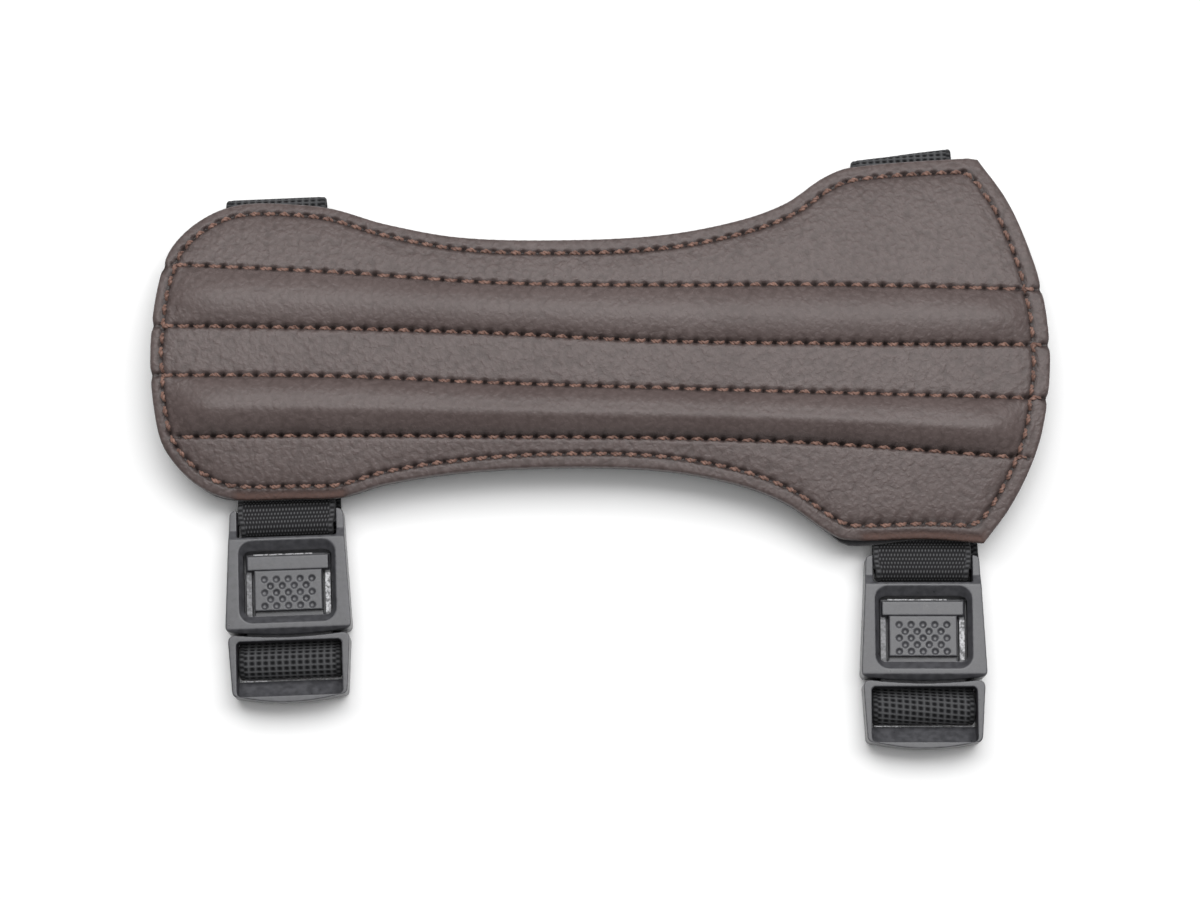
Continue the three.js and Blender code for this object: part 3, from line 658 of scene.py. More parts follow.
def faceSeams(grid):
    outline = outlineLoop(grid)
    seams = [borderSeam(outline)]
    pitches = [stitch["borderPitch"]]
    for line, (first, last), pitch in zip(seamLines, stitch["ribEnds"], stitch["ribPitches"]):
        x = np.linspace(first, last, 700)
        seams.append(resample(np.column_stack([x, line(x)]), planStep["seam"]))
        pitches.append(pitch)
    holes = [resample(line, pitch) for line, pitch in zip(seams, pitches)]
    return outline, seams, holes


def ribProfile(grid):  # 0 to 1 across each padded rib, times its rise
    rise = np.zeros_like(grid["t"])
    grown = smoothStep(*face["ribStart"], fromEnds(grid))
    for band, rib in face["ribs"].items():
        here = grid["band"] == band
        t = grid["t"][here]
        away = np.where(t < rib["crest"], 1 - t / rib["crest"], (t - rib["crest"]) / (1 - rib["crest"]))
        fall = (np.hypot(away, rib["soft"]) - rib["soft"]) / (math.hypot(1, rib["soft"]) - rib["soft"])
        rise[here] = rib["rise"] * (1 - fall) * grown[here]
    return rise


def puffRibs(grid):  # cloth pressure fills the ribs of a light copy, and its rise is carried over
    look = face["puff"]
    along = np.linspace(0, 1, int(panel["length"] / look["step"]) + 1)
    count = look["rows"]
    light = panelGrid("face", along, evenStrips(count))
    flat = archZ(light["x"], light["y"]) + feltThickness + layerGap + look["lift"]
    start = flat + ribProfile(light) * look["start"]
    sheet = gridSheet("ribCloth", *light["x"].shape)
    size = look["scale"] * mm
    begun = np.stack([light["x"], light["y"], start], axis=-1).reshape(-1, 3) * size
    writePoints(sheet, begun)
    free = np.isin(light["band"], list(face["ribs"])) & (light["t"] > 0.01)  # off the seams
    free &= fromEnds(light) > face["ribStart"][0] + look["heldEnd"]
    held = sheet.vertex_groups.new(name="held")
    held.add([int(i) for i in np.flatnonzero(~free.ravel())], 1.0, "REPLACE")
    pick(sheet)
    cloth = sheet.modifiers.new("Cloth", "CLOTH")
    cloth.settings.vertex_group_mass = "held"
    cloth.settings.use_pressure = True
    cloth.settings.uniform_pressure_force = look["pressure"]
    cloth.settings.effector_weights.gravity = 0
    cloth.collision_settings.use_collision = False
    cloth.point_cache.frame_start, cloth.point_cache.frame_end = 1, look["frames"]
    for number in range(1, look["frames"] + 1):
        bpy.context.scene.frame_set(number)
    bpy.ops.object.modifier_apply(modifier=cloth.name)
    bpy.context.scene.frame_set(1)
    rise = ((readPoints(sheet) - begun)[:, 2] / size).reshape(light["x"].shape)
    bpy.data.objects.remove(sheet)
    print("rib cloth rose", round(float(rise.max()), 2), "mm")
    carried = np.zeros_like(grid["t"])
    column = grid["along"] * (len(along) - 1)
    left = np.clip(column.astype(int), 0, len(along) - 2)
    share = column - left
    for band in face["ribs"]:
        here = grid["band"] == band
        level = band * count + grid["t"] * count
        low = np.clip(level.astype(int), 0, rise.shape[0] - 2)
        part = level - low
        near = rise[low, left] * (1 - share) + rise[low, left + 1] * share
        far = rise[low + 1, left] * (1 - share) + rise[low + 1, left + 1] * share
        carried[here] = (near * (1 - part) + far * part)[here]
    target = (1 - look["start"]) * ribProfile(grid)
    grown = smoothStep(*face["ribStart"], fromEnds(grid))
    return np.clip(carried - target, -look["cap"], look["cap"]) * grown


def bell(distance, reach, power=2):
    return np.exp(-((distance / reach) ** power))


def dentEdge(grid):  # draws the outline in where a rib seam runs out over it, and gives those places
    look, places = stitch["dent"], []
    for band in (2, 3, 4):
        row = int(np.argmax(grid["band"][:, 0] == band))
        for column, inner in ((0, 4), (-1, -5)):
            ends = [np.array([grid["x"][row, k], grid["y"][row, k]]) for k in (column, inner)]
            inward = (ends[1] - ends[0]) / math.dist(*ends)
            pull = look["pull"] * bell(np.hypot(grid["x"] - ends[0][0], grid["y"] - ends[0][1]), look["reach"])
            grid["x"] += inward[0] * pull
            grid["y"] += inward[1] * pull
            places.append(ends[0] + inward * look["pull"])
    return places


def buildFace():
    along = np.linspace(0, 1, int(panel["length"] / face["columnStep"]) + 1)
    grid = panelGrid("face", along, [stripRows(band) for band in range(5)])
    easeCorners(grid)
    dents = dentEdge(grid)
    plan = np.column_stack([grid["x"].ravel(), grid["y"].ravel()])
    outline, seams, holes = faceSeams(grid)
    fromEdge = distanceTo(plan, outline)
    fromBorder = distanceTo(plan, seams[0])
    fromRib = distanceTo(plan, np.vstack(seams[1:]))
    fromHole = distanceTo(plan, np.vstack(holes) + (0, stitch["hole"]["above"]))
    fromDent = distanceTo(plan, dents)
    inset = borderInset(*plan.T)
    groove, border, swell, hole = face["seamGroove"], face["borderGroove"], face["swell"], stitch["hole"]
    dark, dent, bare = stitch["dark"], stitch["dent"], face["cutDepth"]
    cut = np.zeros(len(plan))
    for place in face["cutEdges"]:
        aside = np.abs(plan[:, 0] - place["x"])
        near = smoothStep(place["half"] + bare["soft"], place["half"] - bare["soft"], aside)
        cut += near * smoothStep(*bare["reach"], fromEdge) * (plan[:, 1] < 0)
    thick = tableLine(face["edge"])(fromEdge) - bare["lower"] * cut
    thick += swell["rise"] * smoothStep(inset + swell["from"], inset + swell["to"], fromEdge)
    rib = ribProfile(grid)
    rib = rib + puffRibs(grid)
    thick += rib.ravel()
    thick -= border["depth"] * bell(fromBorder, border["reach"])
    thick -= groove["depth"] * bell(fromRib, groove["reach"]) * smoothStep(*face["grooveStart"], fromEdge)
    thick -= hole["depth"] * bell(fromHole, hole["reach"], 3) + dent["depth"] * bell(fromDent, dent["reach"])
    under = feltThickness + layerGap
    top = archZ(plan[:, 0], plan[:, 1]) + under + np.maximum(thick, face["thinnest"])
    sheet = gridSheet("leatherFace", *grid["x"].shape)
    writePoints(sheet, np.column_stack([plan, top]) * mm)
    # painted shade in the needle holes, along the rib and border seams and at the dents
    pointAttribute(sheet, "seamShade", np.maximum.reduce([
        dark["hole"] * bell(fromHole, hole["reach"], 3), dark["line"] * bell(fromRib, dark["reach"]),
        dark["border"] * bell(fromBorder, dark["borderReach"]), dent["dark"] * bell(fromDent, dent["reach"]),
    ]))
    pointAttribute(sheet, "taut", smoothStep(*face["tautRise"], rib))
    pointAttribute(sheet, "cutEdge", cut)
    addUnderside(sheet, lambda x, y: archZ(x, y) + under)
    smoothShade(sheet, 60)
    finishPiece(sheet, leather, "face_panel")
    return sheet, holes


leatherFace, holeRows = buildFace()


# Felt lining

lining = {"columns": 90, "rows": 8, "inset": 0.2, "halfLength": 88.5, "halfWidth": 38.5}


def buildLining():
    grid = panelGrid("lining", np.linspace(0, 1, lining["columns"]), evenStrips(lining["rows"]))
    x = grid["x"].ravel() * (1 - lining["inset"] / lining["halfLength"])
    y = panel["axisY"] + (grid["y"].ravel() - panel["axisY"]) * (1 - lining["inset"] / lining["halfWidth"])
    sheet = gridSheet("feltLining", *grid["x"].shape)
    writePoints(sheet, np.column_stack([x, y, archZ(x, y) + feltThickness]) * mm)
    addUnderside(sheet, archZ)
    smoothShade(sheet, 50)
    finishPiece(sheet, felt, "back_panel")


buildLining()


# Stitching: one twisted stitch, laid along every seam

def oneStitch():  # along X, from one needle hole to the next, two plies round each other
    plies = []
    for turn in (0, math.pi):
        clearSelection()
        bpy.ops.mesh.primitive_grid_add(x_subdivisions=stitch["rings"], y_subdivisions=stitch["sides"], size=1)
        ply = bpy.context.object
        points = readPoints(ply)
        run, around = points[:, 0] + 0.5, (points[:, 1] + 0.5) * 2 * math.pi
        spin = turn + 2 * math.pi * stitch["turns"] * run
        taper = stitch["tip"] + (1 - stitch["tip"]) * np.sin(np.pi * np.clip(run, 0, 1)) ** 0.5
        x = run - 0.5  # stretched to its own length where it is laid
        y = taper * (stitch["plyOffset"] * np.cos(spin) + stitch["plyRadius"] * np.cos(around))
        z = taper * (stitch["plyOffset"] * np.sin(spin) + stitch["plyRadius"] * np.sin(around))
        z += stitch["lift"] * (1 - (2 * run - 1) ** 2 * stitch["dive"])  # the ends dive into the holes
        writePoints(ply, np.column_stack([x, y, z]) * mm)
        editAll(ply)
        bpy.ops.mesh.remove_doubles(threshold=1e-6)
        bpy.ops.mesh.select_all(action="DESELECT")
        bpy.ops.mesh.select_non_manifold()
        bpy.ops.mesh.edge_face_add()
        bpy.ops.object.mode_set(mode="OBJECT")
        plies.append(ply)
    joinPieces(plies)
    outward(plies[0])
    return plies[0]


def sewSeams(holes):
    single = oneStitch()
    shape = readPoints(single)
    faces = [list(face.vertices) for face in single.data.polygons]
    top = BVHTree.FromObject(leatherFace, bpy.context.evaluated_depsgraph_get())
    points, polygons = [], []
    slant = math.radians(stitch["slant"])
    for line in holes:
        for start, end in zip(line[:-1], line[1:]):
            middle, step = (start + end) / 2, end - start
            step = step * np.sign(step[np.argmax(np.abs(step))])  # all lean the same way
            above = Vector((middle[0] * mm, middle[1] * mm, 0.1))
            hit, normal, _, _ = top.ray_cast(above, Vector((0, 0, -1)))
            along = Vector((step[0], step[1], 0)).normalized()
            along = (along - normal * along.dot(normal)).normalized()
            across = normal.cross(along)
            along, across = (along * math.cos(slant) + across * math.sin(slant),
                             across * math.cos(slant) - along * math.sin(slant))
            run = math.hypot(*step) * stitch["length"]
            axes = np.array([along * run, across, normal])
            polygons += [[index + len(points) * len(shape) for index in face] for face in faces]
            points.append(shape @ axes + np.array(hit))
    single.data.clear_geometry()
    single.data.from_pydata(np.concatenate(points), [], polygons)
    single.name = single.data.name = "seamStitches"
    smoothShade(single, 60)
    finishPiece(single, thread)
    print("sewn", len(points), "stitches")


sewSeams(holeRows)


# Where each buckle is: its joint line, its turn in plan and its strap's fold, in mm

sides = {
    "wrist": {"joint": (-61.0, -37.6), "turn": 2.1, "edgeY": 26.1, "lean": 0, "bow": 0.5,
              "fold": {"y": 84.9, "shift": -0.8, "skew": 0.4}},
    "forearm": {"joint": (63.4, -46.7), "turn": 0, "edgeY": 26.9, "lean": -5, "bow": 1.7,
                "fold": {"y": 103.1, "shift": -2.9, "skew": 7.5}},
}


def placeSide(side, points):  # from the buckle's own frame to the table
    turn = math.radians(side["turn"])
    x = points[..., 0] * math.cos(turn) - points[..., 1] * math.sin(turn) + side["joint"][0]
    y = points[..., 0] * math.sin(turn) + points[..., 1] * math.cos(turn) + side["joint"][1]
    return np.stack([x, y, points[..., 2]], axis=-1)


# Woven bands

strap = {"width": 20, "thickness": 1.4, "sewn": 10, "tailEnd": 2.6, "leaveAngle": 45, "bendRadius": 1.5,
         "acrossStep": 0.27, "hiddenStep": 1.2, "fineRuns": (3, 2),  # finer below and above the fold
         "bowRun": (2, 20)}
loop = {"width": 19.2, "thickness": 1.3, "sewn": 8, "drawIn": 0.05, "drawRun": (1.6, -0.8),
        "acrossStep": 0.13, "hiddenStep": 1.0}
bandEdge = 0.5  # run over which a band thins towards its edges
crossbar = {"y": -5.9, "z": 3.1, "radius": 1.4}
bodyTop, loopBar = 24.1, {"from": 21.6, "low": 3.8, "high": 5.4}


def arcPoints(centre, radius, start, end, step):  # degrees
    count = max(int(abs(math.radians(end - start)) * radius / step), 4)
    angles = np.radians(np.linspace(start, end, count + 1))
    return [(centre[0] + radius * math.cos(a), centre[1] + radius * math.sin(a)) for a in angles]


def linePoints(start, end, step):
    count = max(int(math.dist(start, end) / step), 1)
    return [tuple(np.array(start) + (np.array(end) - np.array(start)) * k / count) for k in range(count + 1)]


def joinRuns(runs):  # one path from runs that meet
    path = [runs[0][0]]
    for run in runs:
        path += [point for point in run if math.dist(point, path[-1]) > 1e-4]
    return np.array(path)


def bandPiece(name, path, width, thickness, weave, place, step, lean=0):
    across = np.linspace(-width / 2, width / 2, int(width / step) + 1)
    ahead = np.vstack([path[1:], path[-1:]]) - np.vstack([path[:1], path[:-1]])
    normal = np.column_stack([-ahead[:, 1], ahead[:, 0]]) / np.hypot(*ahead.T)[:, None]
    length = np.concatenate([[0], np.cumsum(np.hypot(*np.diff(path, axis=0).T))])
    edge = np.clip((width / 2 - np.abs(across)) / bandEdge, 0, 1)
    rounded = np.sqrt(np.clip(1 - (1 - edge) ** 2, 0, 1)) * 0.5 + 0.5  # thinner along its two edges
    u, v = np.meshgrid(across, length)
    height = weaveHeight(weave, u, v + u * math.tan(math.radians(lean)), width)
    sheets = []
    for layer in (1, -1):
        lift = (thickness / 2 - weave["depth"] * (1 - height)) * rounded * layer
        y = path[:, 0][:, None] + normal[:, 0][:, None] * lift
        z = path[:, 1][:, None] + normal[:, 1][:, None] * lift
        sheet = gridSheet(name, len(path), len(across))
        writePoints(sheet, place(np.stack([u, y, z], axis=-1)).reshape(-1, 3) * mm)
        pointAttribute(sheet, "yarn", height)
        sheets.append(sheet)
    band = joinPieces(sheets)
    band.name = band.data.name = name
    editAll(band)
    bpy.ops.mesh.select_all(action="DESELECT")
    bpy.ops.mesh.select_non_manifold()
    bpy.ops.mesh.bridge_edge_loops()
    bpy.ops.object.mode_set(mode="OBJECT")
    outward(band)
    smoothShade(band, 60)
    return band


def buildStrap(name, side):
    half = strap["thickness"] / 2
    ring = crossbar["radius"] + layerGap + half
    tailZ = half + strap["thickness"] + layerGap
    leave = strap["leaveAngle"]
    leaveY = crossbar["y"] + ring * math.cos(math.radians(leave))
    leaveZ = crossbar["z"] + ring * math.sin(math.radians(leave))
    kneeY = leaveY + (leaveZ - tailZ) / math.tan(math.radians(leave))
    bendY = kneeY + strap["bendRadius"] * math.tan(math.radians(leave) / 2)
    fold = side["fold"]
    foldX, foldY, _ = placeSide(side, np.array([fold["shift"], fold["y"], 0.0]))
    sewnZ = float(archZ(foldX, foldY)) - sewnGap - half
    foldRadius = (sewnZ - half) / 2
    foldZ = half + foldRadius
    fine, even, coarse = elasticWeave["row"] / 6, elasticWeave["row"] / 4, strap["hiddenStep"]
    below, above = strap["fineRuns"]
    bend = arcPoints((bendY, tailZ + strap["bendRadius"]), strap["bendRadius"], -90, -90 - leave, fine)
    path = joinRuns([
        linePoints((strap["tailEnd"], tailZ), (bendY, tailZ), fine),
        bend,
        linePoints(bend[-1], (leaveY, leaveZ), fine),
        arcPoints((crossbar["y"], crossbar["z"]), ring, leave, 270, fine),
        linePoints((crossbar["y"], half), (fold["y"] - below, half), even),
        linePoints((fold["y"] - below, half), (fold["y"], half), fine),
        arcPoints((fold["y"], foldZ), foldRadius, -90, 90, fine),
        linePoints((fold["y"], sewnZ), (fold["y"] - above, sewnZ), fine),
        linePoints((fold["y"] - above, sewnZ), (fold["y"] - strap["sewn"], sewnZ), coarse),
    ])

    def place(points):
        x, y, z = points[..., 0], points[..., 1], points[..., 2]
        sewn = (z > foldZ) & (y < fold["y"]) & (y > bodyTop)
        toFold = np.clip((y - bodyTop) / (fold["y"] - strap["sewn"] - bodyTop), 0, 1)
        aside = fold["shift"] * toFold + side["bow"] * smoothStep(*strap["bowRun"], y) * (1 - toFold)
        skewed = y + x * math.tan(math.radians(fold["skew"])) * toFold
        world = placeSide(side, np.stack([x + aside, skewed, z], axis=-1))
        world[..., 2] += np.where(sewn, archZ(world[..., 0], world[..., 1]) - archZ(foldX, foldY), 0)
        return world

    band = bandPiece(name + "Strap", path, strap["width"], strap["thickness"], elasticWeave, place,
                     strap["acrossStep"], side["lean"])
    finishPiece(band, elastic, name + "_strap")


def buildLoop(name, side):
    half = loop["thickness"] / 2
    backZ, frontZ = loopBar["low"] - layerGap - half, loopBar["high"] + layerGap + half
    middleZ = (backZ + frontZ) / 2
    edgeX, edgeY, _ = placeSide(side, np.array([0, side["edgeY"], 0.0]))
    sewnFront = float(archZ(edgeX, edgeY)) - sewnGap - half
    sewnBack = sewnFront - loop["thickness"] - sewnGap
    run = side["edgeY"] - bodyTop
    fine, coarse = webbingWeave["row"] / 5, loop["hiddenStep"]
    ease = [(bodyTop + run * (1.5 * t * (1 - t) + t ** 3),  # leaves the bar level and reaches the panel level
             frontZ + (sewnFront - frontZ) * (3 * t * t - 2 * t ** 3)) for t in np.linspace(0, 1, 22)]
    path = joinRuns([
        linePoints((side["edgeY"] + loop["sewn"], sewnBack), (side["edgeY"], sewnBack), coarse),
        linePoints((side["edgeY"], sewnBack), (bodyTop, backZ), fine),
        linePoints((bodyTop, backZ), (loopBar["from"], backZ), fine),
        arcPoints((loopBar["from"], middleZ), frontZ - middleZ, -90, -270, fine),
        linePoints((loopBar["from"], frontZ), (bodyTop, frontZ), fine),
        ease,
        linePoints((side["edgeY"], sewnFront), (side["edgeY"] + loop["sewn"], sewnFront), coarse),
    ])

    def place(points):
        ends = (loopBar["from"] + run for run in loop["drawRun"])
        drawn = 1 - loop["drawIn"] * smoothStep(*ends, points[..., 1])
        world = placeSide(side, points * np.stack([drawn, 1 + 0 * drawn, 1 + 0 * drawn], axis=-1))
        sewn = points[..., 1] > side["edgeY"]
        world[..., 2] += np.where(sewn, archZ(world[..., 0], world[..., 1]) - archZ(edgeX, edgeY), 0)
        return world

    band = bandPiece(name + "Loop", path, loop["width"], loop["thickness"], webbingWeave, place,
                     loop["acrossStep"])
    finishPiece(band, webbing, name + "_loop")


for name, side in sides.items():
    buildStrap(name, side)
    buildLoop(name, side)


# Buckles

body = {
    "halfWidthTop": 11.2, "halfWidthLow": 12.3, "top": bodyTop, "bow": 0.6, "corner": 1.2,
    "base": 1.7, "front": 8.3, "earFront": 7.3, "earSlope": (20.2, 18.2),
    "endSlope": (0.5, 7.0), "endDrop": 0.9,
    "slot": {"halfWidth": 9.8, "from": 18.7},
    "rim": {"halfWidth": 9.5, "from": 1.6, "to": 17.9, "corner": 2.6},
    "floor": {"halfWidth": 8.6, "from": 3.2, "to": 15.9, "corner": 1.2},
    "cavity": {"halfWidth": 9.0, "end": 16.9, "low": 3.2, "high": 6.5},
    "notch": {"halfWidth": 10, "to": 3.4},
    "mould": {"voxel": 0.14, "passes": 9, "kept": 0.14},
}
tongue = {
    "halfWidthTop": 11.9, "halfWidthLow": 11.3, "top": -0.6, "end": -12.8, "bowTop": 0.6, "bowEnd": 1.2,
    "corner": 1.4, "low": 1.3, "high": 7.6,
    "opening": {"halfWidth": 10.3, "from": -12.7, "to": -1.9, "corner": 0.8},
    "lip": {"from": -9.3, "low": 2.4, "high": 4.8},
    "rootLow": 4.0,
    "into": 0.5,  # how far the lip and the crossbar run into the frame
    "plate": {"halfWidth": 8.4, "end": 15.75, "high": 4.9},
    "buttonHigh": 6.2,
    "pad": {"halfWidth": 6.7, "from": 4.2, "to": 12.3, "step": 0.11, "edge": 0.3},
    "head": {"halfWidth": 8.0, "from": 12.3, "to": 15.1},
    "underside": {"from": -14.1, "high": 4.4, "to": -12.3},  # slope under the closed end
    "dimples": {"rows": 5, "across": 5, "pitchX": 2.34, "pitchY": 1.32, "centreY": 7.8,
                "radius": 0.78, "flat": 0.24, "depth": 0.36},
    "gap": {"from": 6.75, "to": 7.15, "start": 3.4, "end": 12.1},  # slot between the pad and each side rail
    "glintStrips": [  # flats painted pale as glints: half width, centre x, y from and to, top z, how pale
        (5.8, -1.0, 15.44, 15.68, 4.95, 2),
        (0.5, -7.75, 3.7, 11.6, 4.95, 0.2), (0.5, 7.75, 3.7, 11.6, 4.95, 0.8),
        (2.4, -7.2, -9.3, -9.05, 2.45, 1.6), (4.5, -0.3, -9.3, -9.1, 2.45, 0.25),
        (1.8, 7.8, -9.3, -9.1, 2.45, 0.6),
    ],
    "mould": {"voxel": 0.13, "passes": 5, "kept": 0.16},
}
# how far cutters reach: past an end, up, to each side, into what they meet, and over each other
cutter = {"past": 1, "top": 12, "half": 20, "overlap": 0.3, "join": 0.1}


def block(halfWidth, yFrom, yTo, low, high):  # a cube primitive at its size and place
    clearSelection()
    bpy.ops.mesh.primitive_cube_add(size=1)
    cube = bpy.context.object
    points = readPoints(cube)
    points[:, 0] *= 2 * halfWidth
    points[:, 1] = points[:, 1] * (yTo - yFrom) + (yFrom + yTo) / 2
    points[:, 2] = points[:, 2] * (high - low) + (low + high) / 2
    writePoints(cube, points * mm)
    return cube


def slide(solid, distance):  # along X, mm
    points = readPoints(solid)
    points[:, 0] += distance * mm
    writePoints(solid, points)


def prism(outline, low, high, across=False):  # an outline extruded up, or across X where it is (y, z)
    clearSelection()
    bpy.ops.mesh.primitive_circle_add(vertices=len(outline), radius=1, fill_type="NGON")
    solid = bpy.context.object
    flat = [(low, y, z) if across else (y, z, low) for y, z in outline]
    writePoints(solid, np.array(flat) * mm)
    editAll(solid)
    move = (high - low) * mm
    way = (move, 0, 0) if across else (0, 0, move)
    bpy.ops.mesh.extrude_region_move(TRANSFORM_OT_translate={"value": way})
    bpy.ops.object.mode_set(mode="OBJECT")
    outward(solid)
    return solid


def inOrder(solid):  # a boolean leaves points and faces in an order that changes from run to run
    points = readPoints(solid)
    order = np.lexsort(np.round(points, 8).T)
    place = np.argsort(order)
    rings = [[int(place[index]) for index in face.vertices] for face in solid.data.polygons]
    rings = sorted(ring[ring.index(min(ring)):] + ring[:ring.index(min(ring))] for ring in rings)
    solid.data.clear_geometry()
    solid.data.from_pydata(points[order], [], rings)


def combine(target, other, operation):
    applyModifier(target, "BOOLEAN", object=other, operation=operation, solver="EXACT")
    bpy.data.objects.remove(other)
    inOrder(target)


def roundedRectangle(shape):
    steps = 5  # to each corner
    half, low, high, corner = shape["halfWidth"], shape["from"], shape["to"], shape["corner"]
    centres = [(half - corner, low + corner, -90), (half - corner, high - corner, 0),
               (corner - half, high - corner, 90), (corner - half, low + corner, 180)]
    return [(x + corner * math.cos(math.radians(start + 90 * k / steps)),
             y + corner * math.sin(math.radians(start + 90 * k / steps)))
            for x, y, start in centres for k in range(steps + 1)]


def bowedOutline(ends, corner):  # upper end, then lower end: half width, y, bow, steps
    outline = []
    for way, (half, y, bow, steps) in zip((1, -1), ends):
        edge, inner, beside = way * half, way * (half - corner), y - way * corner
        outline.append((edge, beside))
        outline += curve((edge, beside), (edge, y), (inner, y))
        outline += curve((inner, y), (0, y - 2 * bow), (-inner, y), steps)
        outline += curve((-inner, y), (-edge, y), (-edge, beside))
    return outline


def curve(start, control, end, steps=6):  # a quadratic bend, without its first point
    start, control, end = np.array(start), np.array(control), np.array(end)
    share = np.linspace(0, 1, steps + 1)[1:, None]
    return [tuple(p) for p in (1 - share) ** 2 * start + 2 * share * (1 - share) * control + share ** 2 * end]


def funnel(low, lowZ, high, highZ):  # a cutter whose outline widens from one height to the other
    cone = prism(roundedRectangle(low), lowZ, highZ)
    points = readPoints(cone) / mm
    top = points[:, 2] > (lowZ + highZ) / 2
    wide = np.array(roundedRectangle(high))
    narrow = np.array(roundedRectangle(low))
    for index in np.flatnonzero(top):
        match = np.argmin(np.hypot(*(narrow - points[index, :2]).T))
        points[index, :2] = wide[match]
    writePoints(cone, points * mm)
    return cone


def moulded(solid, look):  # rounds every edge a little, as a mould leaves it
    applyModifier(solid, "REMESH", mode="VOXEL", voxel_size=look["voxel"] * mm)
    applyModifier(solid, "SMOOTH", factor=0.5, iterations=look["passes"])
    applyModifier(solid, "DECIMATE", ratio=look["kept"])
    outward(solid)
    smoothShade(solid, 60)


def settle(solid, side):
    writePoints(solid, placeSide(side, readPoints(solid) / mm) * mm)


def buildBody(name, side):
    top, bow = body["top"], body["bow"]
    ends = [(body["halfWidthTop"], top, 0, 1), (body["halfWidthLow"], 0, bow, 10)]
    solid = prism(bowedOutline(ends, body["corner"]), body["base"], body["front"])
    slopeFrom, slopeTo = body["earSlope"]
    endY, endZ = body["endSlope"]
    past, up, beside, join = (cutter[key] for key in ("past", "top", "half", "join"))
    profile = [(top + past, body["base"] - past), (top + past, body["earFront"]),
               (slopeFrom, body["earFront"]), (slopeTo, body["front"]), (endY, body["front"]), (-bow, endZ),
               (-bow - past, endZ - body["endDrop"]), (-bow - past, body["base"] - past)]
    combine(solid, prism(profile, -beside, beside, across=True), "INTERSECT")
    slot, cavity, notch = body["slot"], body["cavity"], body["notch"]
    cuts = [
        block(slot["halfWidth"], slot["from"], loopBar["from"], 0, up),
        block(slot["halfWidth"], loopBar["from"] - join, top + past, 0, loopBar["low"]),
        block(slot["halfWidth"], loopBar["from"] - join, top + past, loopBar["high"], up),
        block(cavity["halfWidth"], -bow - past, cavity["end"], cavity["low"], cavity["high"]),
        block(notch["halfWidth"], -bow - past, notch["to"], 0, cavity["low"] + cutter["overlap"]),
        # a hair over, so that no faces coincide
        prism(roundedRectangle(body["floor"]), cavity["high"] - past, cavity["high"] + 0.01),
        funnel(body["floor"], cavity["high"], body["rim"], body["front"] + 0.001),
    ]
    for cut in cuts:
        combine(solid, cut, "DIFFERENCE")
    moulded(solid, body["mould"])
    settle(solid, side)
    solid.name = solid.data.name = name + "BuckleBody"
    finishPiece(solid, plastic, name + "_buckle_body")


def thumbPad():  # a raised pad with shallow round hollows in staggered rows
    pad, look = tongue["pad"], tongue["dimples"]
    half, low, high = pad["halfWidth"], pad["from"], pad["to"]
    columns, rows = int(2 * half / pad["step"]), int((high - low) / pad["step"])
    sheet = gridSheet("thumbPad", rows, columns)
    x, y = np.meshgrid(np.linspace(-half, half, columns), np.linspace(low, high, rows))
    inside = np.minimum(half - np.abs(x), np.minimum(y - low, high - y))
    edge = np.clip(1 - inside / pad["edge"], 0, 1)
    z = tongue["buttonHigh"] - pad["edge"] * (1 - np.sqrt(1 - edge ** 2))
    for row in range(look["rows"]):
        count = look["across"] - row % 2
        for k in range(count):
            centreX = (k - (count - 1) / 2) * look["pitchX"]
            centreY = look["centreY"] + ((look["rows"] - 1) / 2 - row) * look["pitchY"]
            away = np.hypot(x - centreX, y - centreY)
            z -= look["depth"] * smoothStep(look["radius"], look["flat"], away)
    writePoints(sheet, np.stack([x, y, z], axis=-1).reshape(-1, 3) * mm)
    addUnderside(sheet, lambda x, y: 0 * x + tongue["rootLow"] + cutter["overlap"])
    smoothShade(sheet, 50)
    return sheet


def glintFlats():  # narrow flats painted pale, as glints
    flats = []
    for half, centreX, low, high, top, pale in tongue["glintStrips"]:
        flat = block(half, low, high, top - cutter["overlap"], top)
        slide(flat, centreX)
        pointAttribute(flat, "glintShare", np.full(len(flat.data.vertices), pale))
        flats.append(flat)
    return flats


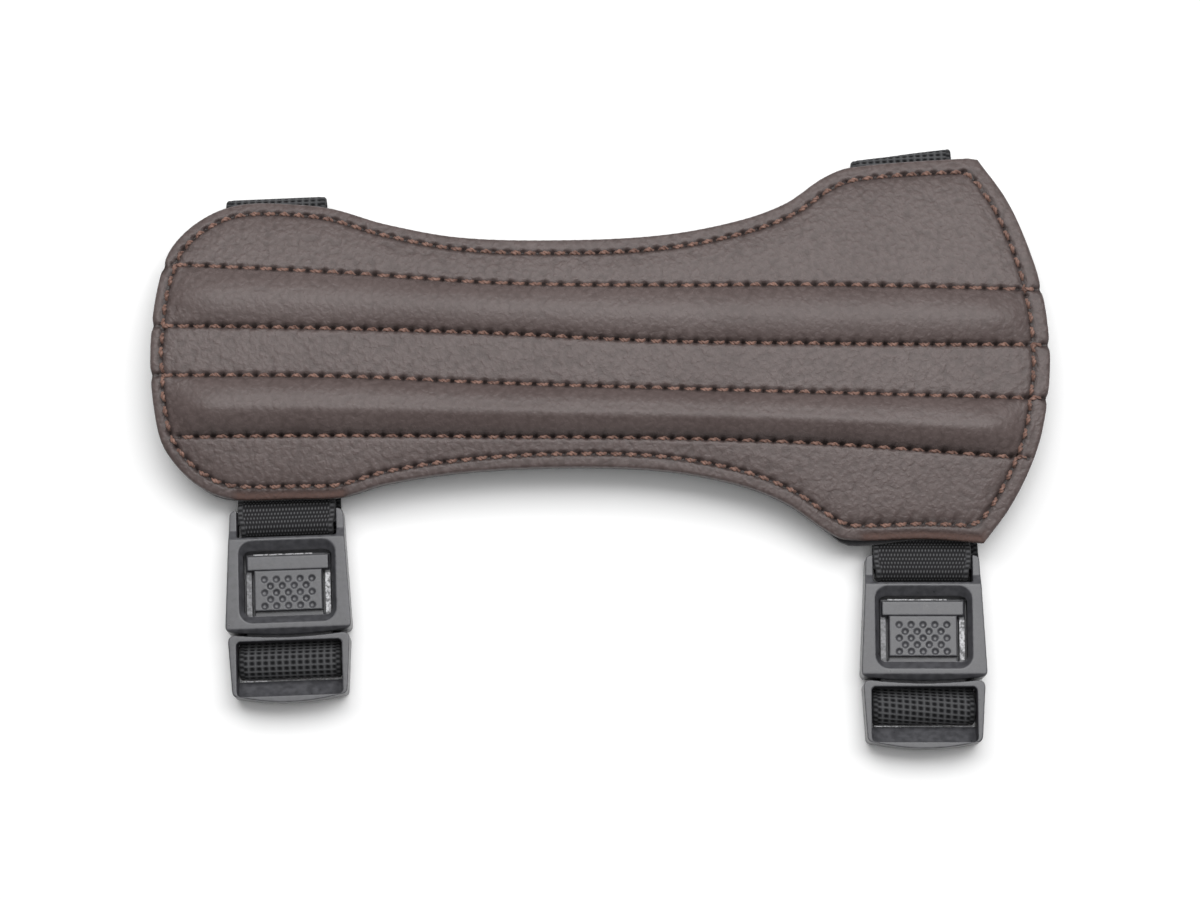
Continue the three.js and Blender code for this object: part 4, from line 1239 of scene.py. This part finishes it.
def buildTongue(name, side):
    ends = [(tongue["halfWidthTop"], tongue["top"], tongue["bowTop"], 10),
            (tongue["halfWidthLow"], tongue["end"], tongue["bowEnd"], 10)]
    outline = bowedOutline(ends, tongue["corner"])
    solid = prism(outline, tongue["low"], tongue["high"])
    opening, lip, plate = tongue["opening"], tongue["lip"], tongue["plate"]
    head, low, into = tongue["head"], tongue["rootLow"], tongue["into"]
    past, overlap, beside = cutter["past"], cutter["overlap"], cutter["half"]
    combine(solid, prism(roundedRectangle(opening), 0, cutter["top"]), "DIFFERENCE")
    combine(solid, block(opening["halfWidth"], opening["to"] - overlap, past, 0, low), "DIFFERENCE")
    ramp = [(lip["from"], tongue["low"]), (lip["from"], lip["low"]), (opening["from"], lip["high"]),
            (opening["from"] - into, lip["high"]), (opening["from"] - into, tongue["low"])]
    reach = opening["halfWidth"] + into
    lipBlock = prism(ramp, -reach, reach, across=True)
    combine(lipBlock, prism(outline, tongue["low"], tongue["high"]), "INTERSECT")
    clearSelection()
    bpy.ops.mesh.primitive_cylinder_add(vertices=20, radius=crossbar["radius"] * mm, depth=2 * reach * mm,
                                        location=(0, crossbar["y"] * mm, crossbar["z"] * mm),
                                        rotation=(0, math.pi / 2, 0))
    bpy.ops.object.transform_apply()
    rod = bpy.context.object
    joins = [
        rod,
        lipBlock,
        block(plate["halfWidth"], opening["to"] + overlap, plate["end"], low, plate["high"]),
        block(head["halfWidth"], head["from"], head["to"], low, tongue["buttonHigh"]),
    ]
    for other in joins:
        combine(solid, other, "UNION")
    gap = tongue["gap"]
    for way in (-1, 1):
        slot = block((gap["to"] - gap["from"]) / 2, gap["start"], gap["end"], low - past,
                     plate["high"] + cutter["join"])
        slide(slot, way * (gap["from"] + gap["to"]) / 2)
        combine(solid, slot, "DIFFERENCE")
    under = tongue["underside"]
    slope = [(under["from"] - past, 0), (under["from"] - past, under["high"]), (under["from"], under["high"]),
             (under["to"], tongue["low"]), (under["to"], 0)]
    combine(solid, prism(slope, -beside, beside, across=True), "DIFFERENCE")
    moulded(solid, tongue["mould"])
    joinPieces([solid, thumbPad(), *glintFlats()])
    settle(solid, side)
    solid.name = solid.data.name = name + "BuckleTongue"
    finishPiece(solid, plastic, name + "_buckle_tongue")


for name, side in sides.items():
    buildBody(name, side)
    buildTongue(name, side)


# Last, clear the selection and update the scene
clearSelection()
bpy.context.view_layer.update()
